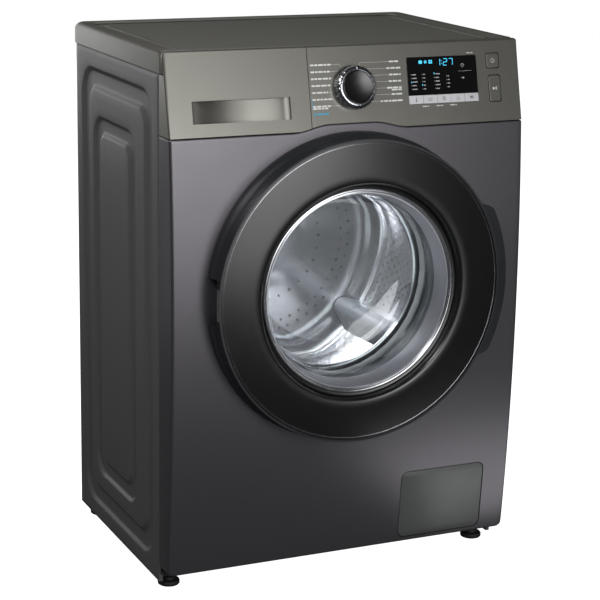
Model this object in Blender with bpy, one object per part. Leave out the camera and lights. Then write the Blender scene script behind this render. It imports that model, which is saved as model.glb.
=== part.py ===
"""Front load washing machine, slim 8 kg class, as an assembly of separate parts.

Frame: metres, +Z up, the front faces -Y, +X is to the viewer's right. The origin is on the
floor at the centre of the machine's footprint. Lengths from the rear of the worktop towards
the front are called depths (d) here, and P(x, d, z) turns one into a world point.
"""

import math

import bmesh
import bpy
from mathutils import Matrix, Vector

# ---------------------------------------------------------------- driving dimensions
WIDTH = 0.600            # over the worktop
HEIGHT = 0.850
DEPTH = 0.4916           # rear of the worktop to the face of the door
BACK = DEPTH / 2         # world y of depth zero
GAP = 0.0003             # running gap between neighbours

SKIN_X = 0.298           # outer face of the side panels
SHEET = 0.0012
LIP_Z = 0.8145           # lower edge of the worktop
PANEL_Z0 = 0.036         # lower edge of the front panel
PANEL_Z1 = 0.7225        # upper edge of the front panel beside the door
SEAM_D = 0.395           # joint between side panels and the front panel's returns

DOOR_Z = 0.4782          # centre height of the door and of the drum
LAND_D = 0.4485          # flat seat around the door
DOOR_BACK = 0.4512
DOOR_R0 = 0.2432         # rim of the door at its back
DOOR_R1 = 0.2378         # edge of the door's face
HINGE_X, HINGE_D = -0.232, 0.480

FASCIA_Z0, FASCIA_D0 = 0.7234, 0.4386
TILT = math.radians(12.94)
FS, FC = math.sin(TILT), math.cos(TILT)

DRUM_R = 0.2375
TUB_R = 0.2535
MOTOR_X, MOTOR_Z = 0.060, 0.142
BIG_PULLEY_R, SMALL_PULLEY_R = 0.130, 0.0125
PUMP_X, PUMP_Z = 0.178, 0.097
FOOT_X, FOOT_D = 0.274, (0.373, 0.036)


def P(x, d, z):
    return Vector((x, BACK - d, z))


def bow(z):
    """Depth of the front panel's face, which bulges gently from top to bottom."""
    return 0.452 - 0.14 * (z - 0.42) ** 2


def smooth(t):
    t = max(0.0, min(1.0, t))
    return t * t * (3 - 2 * t)


def face_d(x, z):
    """The bow, eased into the flat land around the door."""
    r = math.hypot(x, z - DOOR_Z)
    k = smooth((0.290 - r) / 0.038)
    return bow(z) * (1 - k) + LAND_D * k


def wave(x):
    """Rise of the front panel's upper edge over the door."""
    return 0.0105 * smooth((0.098 - abs(x)) / 0.060)


def F(x, s, h):
    """A point in the tilted control panel's plane: s up along it, h out of it."""
    return P(x, FASCIA_D0 - s * FS + h * FC, FASCIA_Z0 + s * FC + h * FS)


NORMAL = Vector((0, -FC, FS))    # out of the control panel


# ---------------------------------------------------------------- scene and materials
for old in list(bpy.data.objects):
    bpy.data.objects.remove(old)


def material(name, colour, rough, metal=0.0, alpha=1.0):
    m = bpy.data.materials.new(name)
    m.use_nodes = True
    b = m.node_tree.nodes["Principled BSDF"]
    b.inputs["Base Color"].default_value = (*colour, 1)
    b.inputs["Roughness"].default_value = rough
    b.inputs["Metallic"].default_value = metal
    b.inputs["Alpha"].default_value = alpha
    return m


M = {
    "inox": material("inox_paint", (0.10, 0.095, 0.10), 0.38, 0.5),
    "side": material("side_paint", (0.045, 0.045, 0.046), 0.45, 0.3),
    "olive": material("panel_plastic", (0.115, 0.112, 0.10), 0.42, 0.2),
    "black": material("black_plastic", (0.012, 0.012, 0.013), 0.4),
    "gloss": material("black_gloss", (0.008, 0.008, 0.009), 0.08),
    "glass": material("glass", (0.9, 0.93, 0.95), 0.02, 0.0, 0.3),
    "steel": material("stainless", (0.6, 0.6, 0.61), 0.25, 1.0),
    "zinc": material("galvanised", (0.45, 0.46, 0.47), 0.45, 0.9),
    "cast": material("cast_aluminium", (0.5, 0.5, 0.5), 0.5, 0.9),
    "tub": material("tub_plastic", (0.55, 0.55, 0.53), 0.5),
    "white": material("white_plastic", (0.75, 0.75, 0.73), 0.4),
    "rubber": material("grey_rubber", (0.28, 0.28, 0.29), 0.6),
    "stone": material("concrete", (0.42, 0.41, 0.39), 0.9),
    "silver": material("silver_plastic", (0.6, 0.6, 0.61), 0.3, 0.6),
}


# ---------------------------------------------------------------- shape helpers
def obj_from(name, bm, mat, origin=(0, 0, 0), smooth_deg=35):
    bmesh.ops.recalc_face_normals(bm, faces=bm.faces)
    o = Vector(origin)
    bmesh.ops.translate(bm, verts=bm.verts, vec=-o)
    me = bpy.data.meshes.new(name)
    bm.to_mesh(me)
    bm.free()
    ob = bpy.data.objects.new(name, me)
    ob.location = o
    bpy.context.scene.collection.objects.link(ob)
    me.materials.append(M[mat])
    me.shade_smooth()
    me.set_sharp_from_angle(angle=math.radians(smooth_deg))
    return ob


def from_loops(name, loops, mat, cap=True, ring=False, **kw):
    """A skin through loops of equal length, closed by end caps or into a ring."""
    bm = bmesh.new()
    rows = [[bm.verts.new(p) for p in lp] for lp in loops]
    n = len(rows[0])
    pairs = list(zip(rows, rows[1:])) + ([(rows[-1], rows[0])] if ring else [])
    for a, b in pairs:
        for i in range(n):
            j = (i + 1) % n
            bm.faces.new((a[i], a[j], b[j], b[i]))
    if cap and not ring:
        bm.faces.new(rows[0][::-1])
        bm.faces.new(rows[-1])
    return obj_from(name, bm, mat, **kw)


def box(name, x0, x1, d0, d1, z0, z1, mat, bevel=0, **kw):
    loops = [[P(x0, d, z0), P(x1, d, z0), P(x1, d, z1), P(x0, d, z1)] for d in (d0, d1)]
    ob = from_loops(name, loops, mat, **kw)
    if bevel:
        mod = ob.modifiers.new("edges", "BEVEL")
        mod.width, mod.segments, mod.limit_method = bevel, 2, "ANGLE"
    return ob


def fbox(name, x0, x1, s0, s1, h0, h1, mat, r=0, origin=(0, 0, 0)):
    """A block in the control panel's tilted frame, with round corners of radius r."""
    out = rrect(x0, x1, s0, s1, r, 3) if r else [(x0, s0), (x1, s0), (x1, s1), (x0, s1)]
    return from_loops(name, [[F(x, s, h) for x, s in out] for h in (h0, h1)], mat, origin=origin)


def rrect(x0, x1, z0, z1, r, n=4):
    pts = []
    for cx, cz, a0 in ((x1 - r, z0 + r, -90), (x1 - r, z1 - r, 0), (x0 + r, z1 - r, 90), (x0 + r, z0 + r, 180)):
        for i in range(n + 1):
            a = math.radians(a0 + 90 * i / n)
            pts.append((cx + r * math.cos(a), cz + r * math.sin(a)))
    return pts


def prism(name, pts, axis, a, b, mat, **kw):
    """pts are (x, z) along Y as depths, (d, z) along X, or (x, d) along Z."""
    put = {"Y": lambda p, t: P(p[0], t, p[1]), "X": lambda p, t: P(t, p[0], p[1]), "Z": lambda p, t: P(p[0], p[1], t)}[axis]
    return from_loops(name, [[put(p, t) for p in pts] for t in (a, b)], mat, **kw)


def lathe(name, prof, mat, x=0.0, z=DOOR_Z, n=48, axis="Y", d=0.0, base=None, **kw):
    """A turned piece. prof holds (radius, station): a depth for axis Y, a height for axis Z,
    or a height along the control panel's normal from the point base for axis N. A profile
    that starts and ends on the axis makes a solid, any other is a closed section."""
    if axis == "N":
        u, v, w = Vector((1, 0, 0)), Vector((0, FS, FC)), NORMAL

    def at(r, s, a):
        c, k = r * math.cos(a), r * math.sin(a)
        if axis == "Y":
            return P(x + c, s, z + k)
        if axis == "Z":
            return P(x + c, d + k, s)
        return base + u * c + v * k + w * s

    bm = bmesh.new()
    rows = []
    for r, s in prof:
        if r < 1e-7:
            rows.append([bm.verts.new(at(0, s, 0))])
        else:
            rows.append([bm.verts.new(at(r, s, 2 * math.pi * i / n)) for i in range(n)])
    solid = len(rows[0]) == 1 and len(rows[-1]) == 1
    pairs = list(zip(rows, rows[1:])) + ([] if solid else [(rows[-1], rows[0])])
    for p, q in pairs:
        for i in range(n):
            j = (i + 1) % n
            if len(p) == 1 and len(q) == 1:
                break
            if len(p) == 1:
                bm.faces.new((p[0], q[j], q[i]))
            elif len(q) == 1:
                bm.faces.new((p[i], p[j], q[0]))
            else:
                bm.faces.new((p[i], p[j], q[j], q[i]))
    return obj_from(name, bm, mat, **kw)


def boolean(ob, other, how="DIFFERENCE"):
    m = ob.modifiers.new(how.lower(), "BOOLEAN")
    m.operation, m.object = how, other
    other.hide_render = True
    other.display_type = "WIRE"


def tube(name, pts, r, mat, res=3):
    cu = bpy.data.curves.new(name, "CURVE")
    cu.dimensions = "3D"
    cu.bevel_depth, cu.bevel_resolution, cu.use_fill_caps = r, res, True
    sp = cu.splines.new("POLY")
    sp.points.add(len(pts) - 1)
    for q, p in zip(sp.points, pts):
        q.co = (*p, 1)
    cu.materials.append(M[mat])
    ob = bpy.data.objects.new(name, cu)
    bpy.context.scene.collection.objects.link(ob)
    return ob


def catmull(pts, k=5):
    """Points on a smooth curve through pts."""
    q = [pts[0]] + list(pts) + [pts[-1]]
    out = []
    for i in range(1, len(q) - 2):
        a, b, c, e = (Vector(v) for v in q[i - 1:i + 3])
        for j in range(k):
            t = j / k
            out.append(0.5 * ((2 * b) + (c - a) * t + (2 * a - 5 * b + 4 * c - e) * t * t + (3 * b - a - 3 * c + e) * t ** 3))
    return out + [Vector(pts[-1])]


# ---------------------------------------------------------------- cabinet shell
def side_panel(name, sign):
    """Sheet with two concentric pressed grooves, each a rounded rectangle."""
    n = 5

    def ring(d0, d1, z0, z1, r, x):
        return [(d, z, x) for d, z in rrect(d0, d1, z0, z1, r, n)]

    deep = SKIN_X - 0.0050
    rings = [
        ring(0.004, 0.394, 0.0138, 0.8140, 0.0006, SKIN_X),
        ring(0.030, 0.369, 0.038, 0.787, 0.050, SKIN_X),
        ring(0.040, 0.359, 0.048, 0.777, 0.042, deep),
        ring(0.059, 0.340, 0.066, 0.759, 0.034, deep),
        ring(0.070, 0.329, 0.077, 0.748, 0.026, SKIN_X),
        ring(0.087, 0.292, 0.098, 0.712, 0.040, SKIN_X),
        ring(0.096, 0.283, 0.107, 0.703, 0.034, deep),
        ring(0.112, 0.267, 0.122, 0.688, 0.026, deep),
        ring(0.122, 0.257, 0.132, 0.678, 0.020, SKIN_X),
    ]
    bm = bmesh.new()
    sides = []
    for t in (0.0, SHEET):
        sides.append([[bm.verts.new(P(sign * (x - t), d, z)) for d, z, x in rg] for rg in rings])
    m = len(rings[0])
    for rows in sides:
        for a, b in zip(rows, rows[1:]):
            for i in range(m):
                j = (i + 1) % m
                bm.faces.new((a[i], a[j], b[j], b[i]))
        bm.faces.new(rows[-1])
    for i in range(m):
        j = (i + 1) % m
        bm.faces.new((sides[0][0][i], sides[0][0][j], sides[1][0][j], sides[1][0][i]))
    return obj_from(name, bm, "side")


side_panel("side_panel_left", -1)
side_panel("side_panel_right", 1)

prism("rear_panel", [(-0.2960, 0.0140), (0.2960, 0.0140), (0.2960, 0.7350), (0.1895, 0.7350), (0.1895, 0.8138), (-0.2045, 0.8138), (-0.2045, 0.7350), (-0.2960, 0.7350)],
      "Y", 0.0060, 0.0075, "zinc")

base = prism("base_pan", [(0.0085, 0.0138), (0.3450, 0.0138), (0.3450, 0.0290), (0.4100, 0.0290), (0.4100, 0.0345), (0.0085, 0.0345)], "X", -0.2955, 0.2955, "black")
boolean(base, box("cut_pan", -0.2930, 0.2930, 0.0110, 0.3425, 0.0150, 0.05, "black"))
for i, (sx, fd) in enumerate(((-1, 0), (1, 0), (-1, 1), (1, 1))):
    boolean(base, lathe(f"cut_stud_{i}", [(0, 0), (0.0058, 0), (0.0058, 0.06), (0, 0.06)], "black",
                        x=sx * FOOT_X, d=FOOT_D[fd], axis="Z", n=14))


def front_panel():
    """Bowed sheet with side returns, round corners and a wave over the door."""
    xs = [0.0, 0.020, 0.042, 0.056, 0.070, 0.085, 0.100, 0.165, 0.230, 0.280]
    xs = [-x for x in xs[:0:-1]] + xs
    zs = [PANEL_Z0, 0.130, 0.200, 0.240, 0.330, 0.410, 0.478, 0.550, 0.630, 0.700, PANEL_Z1]
    r = 0.005
    arc = [math.radians(a) for a in (0, 45, 90)]
    bm = bmesh.new()

    def section(z0, top, t):
        row = []

        def add(x, d, z):
            row.append(bm.verts.new(P(x, d, z)))

        zt = (lambda x: z0 + wave(x)) if top else (lambda x: z0)
        ed = bow(z0)
        add(-SKIN_X + t, SEAM_D + 0.0008, z0)
        for a in arc:
            add(-SKIN_X + r - (r - t) * math.cos(a), ed - r + (r - t) * math.sin(a), z0)
        for x in xs:
            add(x, face_d(x, zt(x)) - t, zt(x))
        for a in arc[::-1]:
            add(SKIN_X - r + (r - t) * math.cos(a), ed - r + (r - t) * math.sin(a), z0)
        add(SKIN_X - t, SEAM_D + 0.0008, z0)
        return row

    outer = [section(z, i == len(zs) - 1, 0.0) for i, z in enumerate(zs)]
    inner = [section(z, i == len(zs) - 1, 0.0015) for i, z in enumerate(zs)]
    for rows in (outer, inner):
        for a, b in zip(rows, rows[1:]):
            for i in range(len(a) - 1):
                bm.faces.new((a[i], a[i + 1], b[i + 1], b[i]))
    for k in (0, -1):
        for i in range(len(outer[0]) - 1):
            bm.faces.new((outer[k][i], outer[k][i + 1], inner[k][i + 1], inner[k][i]))
    for k in range(len(zs) - 1):
        for e in (0, -1):
            bm.faces.new((outer[k][e], outer[k + 1][e], inner[k + 1][e], inner[k][e]))
    return obj_from("front_panel", bm, "inox")


front = front_panel()
boolean(front, lathe("cut_door_hole", [(0, 0.40), (0.1765, 0.40), (0.1765, 0.48), (0, 0.48)], "inox", n=48))
boolean(front, prism("cut_flap_hole", rrect(0.1010, 0.2535, 0.0425, 0.1592, 0.012, 4), "Y", 0.40, 0.48, "inox"))
boolean(front, box("cut_lock_hole", 0.1888, 0.2100, 0.40, 0.48, DOOR_Z - 0.0175, DOOR_Z + 0.0175, "inox"))

top = prism("top_cover_frame", rrect(-WIDTH / 2, WIDTH / 2, 0.0, 0.4055, 0.0008, 1), "Z", LIP_Z, HEIGHT, "olive")
mod = top.modifiers.new("edges", "BEVEL")
mod.width, mod.segments, mod.limit_method, mod.angle_limit = 0.006, 3, "ANGLE", math.radians(80)
boolean(top, box("cut_cover_below", -0.292, 0.292, 0.010, 0.395, 0.80, 0.8385, "olive"))
boolean(top, prism("cut_cover_top", rrect(-0.272, 0.272, 0.018, 0.3990, 0.012, 3), "Z", 0.8430, 0.87, "olive"))
boolean(top, prism("cut_cover_mid", rrect(-0.262, 0.262, 0.030, 0.385, 0.010, 2), "Z", 0.82, 0.86, "olive"))
prism("top_cover_panel", rrect(-0.2715, 0.2715, 0.0185, 0.3985, 0.0115, 3), "Z", 0.8433, 0.8455, "olive")

# ---------------------------------------------------------------- control panel
OUTER = [(0.3955, 0.7240), (0.43845, 0.7240), (0.4096, 0.8496), (0.4062, 0.8496), (0.4139, 0.8139), (0.3955, 0.8139)]
INNER = [(0.3900, 0.7268), (0.4345, 0.7268), (0.4152, 0.8111), (0.3900, 0.8111)]

# The lower edge of the fascia follows the wave of the front panel with a small gap.
wave_x = [-0.20, -0.10, -0.085, -0.070, -0.056, -0.042, -0.020, 0.0, 0.020, 0.042, 0.056, 0.070, 0.085, 0.10, 0.32]
wave_cut = [(x, PANEL_Z1 + wave(x) + 0.0008) for x in wave_x]


def under_wave(name):
    return prism(name, [(-0.20, 0.70), (0.32, 0.70)] + wave_cut[::-1], "Y", 0.38, 0.46, "olive")


fascia = prism("control_fascia", OUTER, "X", -0.0675, 0.2980, "olive")
boolean(fascia, prism("cut_fascia", INNER, "X", -0.0645, 0.2950, "olive"))
skirt = prism("fascia_skirt", [(-0.0655, 0.7252), (0.103, 0.7252)] + [(x, PANEL_Z1 + wave(x) + 0.0053) for x in (0.10, 0.085, 0.070, 0.056, 0.042, 0.020, 0.0, -0.020, -0.042, -0.056, -0.0655)],
              "Y", 0.3957, 0.4330, "olive")
boolean(fascia, skirt, "UNION")
boolean(fascia, under_wave("cut_fascia_wave"))
boolean(fascia, fbox("cut_display", 0.0990, 0.2220, 0.0329, 0.1056, -0.012, 0.02, "olive"))
boolean(fascia, fbox("cut_power", 0.2392, 0.2631, 0.0830, 0.1080, -0.012, 0.02, "olive", r=0.004))
boolean(fascia, fbox("cut_start", 0.2410, 0.2631, 0.0305, 0.0735, -0.012, 0.02, "olive", r=0.004))
KNOB = F(0.005, 0.0630, 0.0)
boolean(fascia, lathe("cut_knob", [(0, -0.02), (0.0045, -0.02), (0.0045, 0.02), (0, 0.02)], "olive", axis="N", base=KNOB, n=16))

fbox("display_window", 0.0994, 0.2216, 0.0468, 0.1052, -0.0024, 0.0004, "gloss")
for i in range(5):
    x0 = 0.0994 + i * 0.02446
    fbox(f"option_button_{i + 1}", x0, x0 + 0.0241, 0.0333, 0.0464, -0.0030, 0.0012, "silver",
         origin=F(x0 + 0.012, 0.04, 0))
fbox("power_button", 0.2397, 0.2626, 0.0835, 0.1075, -0.0030, 0.0006, "olive", r=0.0035, origin=F(0.2511, 0.0955, 0))
fbox("start_button", 0.2415, 0.2626, 0.0310, 0.0730, -0.0030, 0.0006, "olive", r=0.0035, origin=F(0.2520, 0.0520, 0))

lathe("dial_knob", [(0, -0.012), (0.0030, -0.012), (0.0030, 0.0006), (0.0340, 0.0006), (0.0340, 0.0050), (0.0318, 0.0065),
                    (0.0300, 0.0215), (0.0285, 0.0235), (0.0260, 0.0240), (0, 0.0250)], "black", axis="N", base=KNOB, n=28, origin=KNOB)

# ---------------------------------------------------------------- detergent drawer
dfront = prism("drawer_front", OUTER, "X", -0.2980, -0.0685, "olive", origin=P(-0.18, 0.40, 0.78))
boolean(dfront, prism("cut_drawer", INNER, "X", -0.2950, -0.0715, "olive"))
boolean(dfront, fbox("grip_shell", -0.2620, -0.0980, 0.0180, 0.0566, -0.0215, -0.0010, "olive"), "UNION")
boolean(dfront, fbox("cut_grip", -0.2594, -0.1005, 0.0202, 0.0540, -0.0190, 0.02, "olive"))
boolean(dfront, under_wave("cut_drawer_wave"))

tray = box("drawer_tray", -0.2500, -0.0850, 0.1500, 0.4085, 0.7465, 0.8020, "white", origin=P(-0.18, 0.40, 0.78))
boolean(tray, box("cut_tray_front", -0.30, 0.0, 0.3952, 0.45, 0.70, 0.85, "white"))
boolean(tray, box("cut_wash", -0.2475, -0.1660, 0.1530, 0.3925, 0.7490, 0.85, "white"))
boolean(tray, box("cut_softener", -0.1635, -0.0875, 0.2830, 0.3925, 0.7490, 0.85, "white"))
boolean(tray, box("cut_prewash", -0.1635, -0.0875, 0.1530, 0.2805, 0.7490, 0.85, "white"))

house = box("dispenser_housing", -0.2580, -0.0770, 0.1340, 0.3940, 0.7425, 0.8120, "white")
boolean(house, box("cut_housing", -0.2540, -0.0810, 0.1400, 0.45, 0.7455, 0.8085, "white"))

# ---------------------------------------------------------------- rear services
# The valve and the gland each sit on a plate that fills a corner of the rear.
valve = box("inlet_valve", 0.1900, 0.2400, 0.0070, 0.0560, 0.7450, 0.7850, "white")
boolean(valve, box("valve_plate", 0.1900, 0.2960, 0.0060, 0.0075, 0.7355, 0.8138, "white"), "UNION")
boolean(valve, lathe("inlet_port", [(0, 0.0010), (0.0130, 0.0010), (0.0130, 0.0300), (0, 0.0300)], "white", x=0.215, z=0.765, n=20), "UNION")
boolean(valve, lathe("cut_port", [(0, -0.01), (0.0085, -0.01), (0.0085, 0.0200), (0, 0.0200)], "white", x=0.215, z=0.765, n=20))
gland = box("cable_gland", -0.2960, -0.2050, 0.0060, 0.0075, 0.7355, 0.8138, "black")
boolean(gland, lathe("gland_body", [(0, 0.0005), (0.0065, 0.0005), (0.0085, 0.0055), (0.0085, 0.0115), (0.0125, 0.0118), (0.0125, 0.0150), (0, 0.0150)],
                     "black", x=-0.235, z=0.765, n=16), "UNION")
boolean(gland, lathe("cut_gland", [(0, -0.01), (0.0040, -0.01), (0.0040, 0.03), (0, 0.03)], "black", x=-0.235, z=0.765, n=16))

# ---------------------------------------------------------------- tub, drum and drive
front_shell = lathe("tub_front_shell", [
    (0.2500, 0.2169), (0.2620, 0.2169), (0.2620, 0.2250), (TUB_R, 0.2290), (TUB_R, 0.3690), (0.2500, 0.3755),
    (0.1645, 0.3755), (0.1645, 0.3920), (0.1610, 0.3920), (0.1610, 0.3720), (0.2485, 0.3720), (0.2500, 0.3700)], "tub", n=36)
rear_shell = lathe("tub_rear_shell", [
    (0.0262, 0.0400), (0.0450, 0.0400), (0.0560, 0.0560), (0.2500, 0.0560), (TUB_R, 0.0600), (TUB_R, 0.2050), (0.2620, 0.2090),
    (0.2620, 0.2165), (0.2500, 0.2165), (0.2500, 0.0600), (0.0560, 0.0600), (0.0450, 0.0680), (0.0262, 0.0680)], "tub", n=36)
for sx, nm in ((-1, "left"), (1, "right")):
    boolean(rear_shell, prism(f"lug_{nm}", [(sx * 0.2000, 0.5900), (sx * 0.2880, 0.5990), (sx * 0.2880, 0.6080), (sx * 0.2000, 0.6180)],
                              "Y", 0.0950, 0.1150, "tub"), "UNION")
    boolean(rear_shell, prism(f"foot_lug_{nm}", [(sx * 0.1700, 0.2925), (sx * 0.2000, 0.2925), (sx * 0.2050, 0.3420), (sx * 0.1650, 0.3120)],
                              "Y", 0.1300, 0.1500, "tub"), "UNION")
boolean(rear_shell, lathe("cut_tub_bore", [(0, 0.0600), (0.2499, 0.0600), (0.2499, 0.2400), (0, 0.2400)], "tub", n=36))

lathe("shaft_bearing", [(0.0129, 0.0430), (0.0258, 0.0430), (0.0258, 0.0650), (0.0129, 0.0650)], "steel", n=18)

cw_arc = [(0.2562 * math.sin(math.radians(a)), DOOR_Z + 0.2562 * math.cos(math.radians(a))) for a in range(-12, 49, 6)]
prism("upper_counterweight", cw_arc + [(0.2020, 0.7000), (0.1300, 0.7860), (-0.0530, 0.7860)], "Y", 0.2330, 0.3450, "stone")
lathe("front_counterweight", [(0.1760, 0.3764), (0.2440, 0.3764), (0.2440, 0.3900), (0.2360, 0.3980), (0.1840, 0.3980), (0.1760, 0.3900)], "stone", n=28)

tube("heater", [P(-0.018, 0.0660, DOOR_Z - 0.2425), P(-0.018, 0.2900, DOOR_Z - 0.2425), P(-0.012, 0.3010, DOOR_Z - 0.2432),
                P(0.0, 0.3050, DOOR_Z - 0.2436), P(0.012, 0.3010, DOOR_Z - 0.2432), P(0.018, 0.2900, DOOR_Z - 0.2425), P(0.018, 0.0660, DOOR_Z - 0.2425)],
     0.0032, "steel", res=1)

house2 = lathe("motor_housing", [(0.0130, 0.0620), (0.0480, 0.0620), (0.0600, 0.0700), (0.0600, 0.1780), (0.0480, 0.1860), (0.0, 0.1860), (0.0, 0.1850)][:5]
               + [(0.0120, 0.1860), (0.0120, 0.1830), (0.0500, 0.1830), (0.0500, 0.0680), (0.0130, 0.0680)], "cast", x=MOTOR_X, z=MOTOR_Z, n=18)
boolean(house2, prism("motor_lug", [(MOTOR_X - 0.028, 0.1900), (MOTOR_X + 0.028, 0.1900), (MOTOR_X + 0.030, 0.2280), (MOTOR_X - 0.034, 0.2215)], "Y", 0.0900, 0.1500, "cast"), "UNION")
lathe("motor_rotor", [(0, 0.0180), (0.0100, 0.0180), (0.0150, 0.0190), (0.0150, 0.0215), (SMALL_PULLEY_R, 0.0225), (SMALL_PULLEY_R, 0.0365),
                      (0.0150, 0.0375), (0.0150, 0.0400), (0.0060, 0.0410), (0.0060, 0.0700), (0.0440, 0.0710), (0.0440, 0.1780), (0.0060, 0.1790),
                      (0.0060, 0.1850), (0, 0.1850)], "steel", x=MOTOR_X, z=MOTOR_Z, n=18, origin=P(MOTOR_X, 0.12, MOTOR_Z))

spider = lathe("drum_spider_shaft", [(0, 0.0160), (0.0080, 0.0160), (0.0080, 0.0205), (0.0120, 0.0210), (0.0124, 0.0700), (0.0300, 0.0730), (0.0300, 0.0850), (0, 0.0850)],
               "cast", n=24, origin=P(0, 0.08, DOOR_Z))
star = []
for k in range(3):
    a = math.radians(90 + 120 * k)
    for r_, da in ((0.0330, -40), (0.2200, -4.2), (0.2200, 4.2), (0.0330, 40)):
        b = a + math.radians(da)
        star.append((r_ * math.cos(b), DOOR_Z + r_ * math.sin(b)))
boolean(spider, prism("spider_star", star, "Y", 0.0735, 0.0845, "cast"), "UNION")

lathe("drum_pulley", [(0.0127, 0.0215), (0.0220, 0.0215), (0.0220, 0.0260), (0.1180, 0.0260), (0.1200, 0.0200), (0.1330, 0.0200), (0.1330, 0.0225),
                      (BIG_PULLEY_R, 0.0230), (BIG_PULLEY_R, 0.0365), (0.1330, 0.0370), (0.1330, 0.0385), (0.1200, 0.0385), (0.1180, 0.0300), (0.0220, 0.0300), (0.0220, 0.0380), (0.0127, 0.0380)],
      "cast", n=32, origin=P(0, 0.03, DOOR_Z))


def belt():
    """Flat belt round both pulleys: arcs joined by the common tangents."""
    big, small = Vector((0, DOOR_Z)), Vector((MOTOR_X, MOTOR_Z))
    run = small - big
    phi = math.atan2(run.y, run.x)
    half = math.acos((BIG_PULLEY_R - SMALL_PULLEY_R) / run.length)

    def loop(off):
        pts = []
        for i in range(25):
            a = phi + half + (2 * math.pi - 2 * half) * i / 24
            pts.append(big + Vector((math.cos(a), math.sin(a))) * (BIG_PULLEY_R + off))
        for i in range(9):
            a = phi - half + 2 * half * i / 8
            pts.append(small + Vector((math.cos(a), math.sin(a))) * (SMALL_PULLEY_R + off))
        return pts

    a, b = loop(0.0018), loop(0.0046)
    loops = [[P(p.x, d, p.y) for p in lp] for lp, d in ((a, 0.0245), (b, 0.0245), (b, 0.0350), (a, 0.0350))]
    return from_loops("drive_belt", loops, "black", ring=True)


belt()

lathe("drum_basket", [(0, 0.0862), (0.2375, 0.0862), (DRUM_R, 0.3500), (0.2150, 0.3620), (0.1560, 0.3650), (0.1520, 0.3610),
                      (0.1540, 0.3590), (0.2140, 0.3585), (0.2355, 0.3480), (0.2355, 0.0882), (0, 0.0882)], "steel", n=40, origin=P(0, 0.22, DOOR_Z))
LIFTER_ANGLES = (200, 320, 80)
for k, deg in enumerate(LIFTER_ANGLES):
    pts = []
    for da in (-7.5, -4, 0, 4, 7.5):
        a = math.radians(deg + da)
        pts.append((0.2338 * math.cos(a), DOOR_Z + 0.2338 * math.sin(a)))
    for r_, da in ((0.2150, 6.0), (0.1950, 4.6), (0.1845, 2.6), (0.1820, 0), (0.1845, -2.6), (0.1950, -4.6), (0.2150, -6.0)):
        a = math.radians(deg + da)
        pts.append((r_ * math.cos(a), DOOR_Z + r_ * math.sin(a)))
    prism(f"drum_lifter_{k + 1}", pts, "Y", 0.0960, 0.3440, "tub", origin=P(0, 0.22, DOOR_Z))

# ---------------------------------------------------------------- suspension
box("upper_brace", -0.2960, 0.2960, 0.0930, 0.1170, 0.7960, 0.8120, "zinc")
for sx, nm in ((-1, "left"), (1, "right")):
    turns, r_c, wire, z0, z1 = 8, 0.0095, 0.0014, 0.6120, 0.7930
    coil = [P(sx * 0.2755 + r_c * math.cos(2 * math.pi * turns * t), 0.1050 + r_c * math.sin(2 * math.pi * turns * t), z0 + (z1 - z0) * t)
            for t in (i / (turns * 7) for i in range(turns * 7 + 1))]
    tube(f"suspension_spring_{nm}", coil, wire, "steel", res=0)
    lathe(f"damper_cylinder_{nm}", [(0, 0.0154), (0.0180, 0.0154), (0.0180, 0.1750), (0.0080, 0.1750), (0.0080, 0.0400), (0, 0.0400)], "black",
          x=sx * 0.1850, d=0.1400, axis="Z", n=18)
    lathe(f"damper_rod_{nm}", [(0, 0.1000), (0.0065, 0.1000), (0.0065, 0.2760), (0.0110, 0.2760), (0.0110, 0.2920), (0, 0.2920)], "zinc",
          x=sx * 0.1850, d=0.1400, axis="Z", n=14, origin=P(sx * 0.1850, 0.14, 0.2))

# ---------------------------------------------------------------- drain pump and sump hose
pump = lathe("drain_pump", [(0, 0.2700), (0.0260, 0.2700), (0.0260, 0.3100), (0.0380, 0.3120), (0.0380, 0.3950), (0.0290, 0.3950), (0.0290, 0.3300), (0, 0.3300)],
             "black", x=PUMP_X, z=PUMP_Z, n=18)
boolean(pump, prism("pump_foot", [(PUMP_X - 0.030, 0.0350), (PUMP_X + 0.030, 0.0350), (PUMP_X + 0.020, PUMP_Z - 0.031), (PUMP_X - 0.020, PUMP_Z - 0.031)], "Y", 0.3300, 0.3800, "black"), "UNION")
lathe("pump_filter", [(0, 0.3400), (0.0250, 0.3400), (0.0265, 0.3900), (0.0265, 0.3953), (0.0340, 0.3953), (0.0340, 0.4010), (0.0080, 0.4030), (0.0070, 0.4160), (0, 0.4160)],
      "white", x=PUMP_X, z=PUMP_Z, n=18, origin=P(PUMP_X, 0.40, PUMP_Z))
tube("sump_hose", catmull([P(0.020, 0.3250, 0.2210), P(0.024, 0.3250, 0.1950), P(0.050, 0.3330, 0.1500), P(0.095, 0.3450, 0.1180), P(0.1385, 0.3480, 0.1020)], 4),
     0.0150, "rubber", res=2)

# ---------------------------------------------------------------- door gasket and lock
lathe("door_gasket", [
    (0.1662, 0.3840), (0.1700, 0.3830), (0.1705, 0.4000), (0.1810, 0.4060), (0.1815, 0.4190), (0.1650, 0.4260), (0.1640, 0.4330), (0.1750, 0.4380),
    (0.1830, 0.4400), (0.1830, 0.4450), (0.1758, 0.4450), (0.1758, 0.4500), (0.1700, 0.4500), (0.1700, 0.4420), (0.1580, 0.4360), (0.1575, 0.4240),
    (0.1770, 0.4150), (0.1765, 0.4085), (0.1662, 0.4035)], "rubber", n=32)
lock = box("door_lock", 0.1860, 0.2150, 0.4240, 0.4460, DOOR_Z - 0.032, DOOR_Z + 0.032, "black")
boolean(lock, box("cut_lock", 0.1888, 0.2100, 0.4285, 0.46, DOOR_Z - 0.0175, DOOR_Z + 0.0175, "black"))

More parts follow.
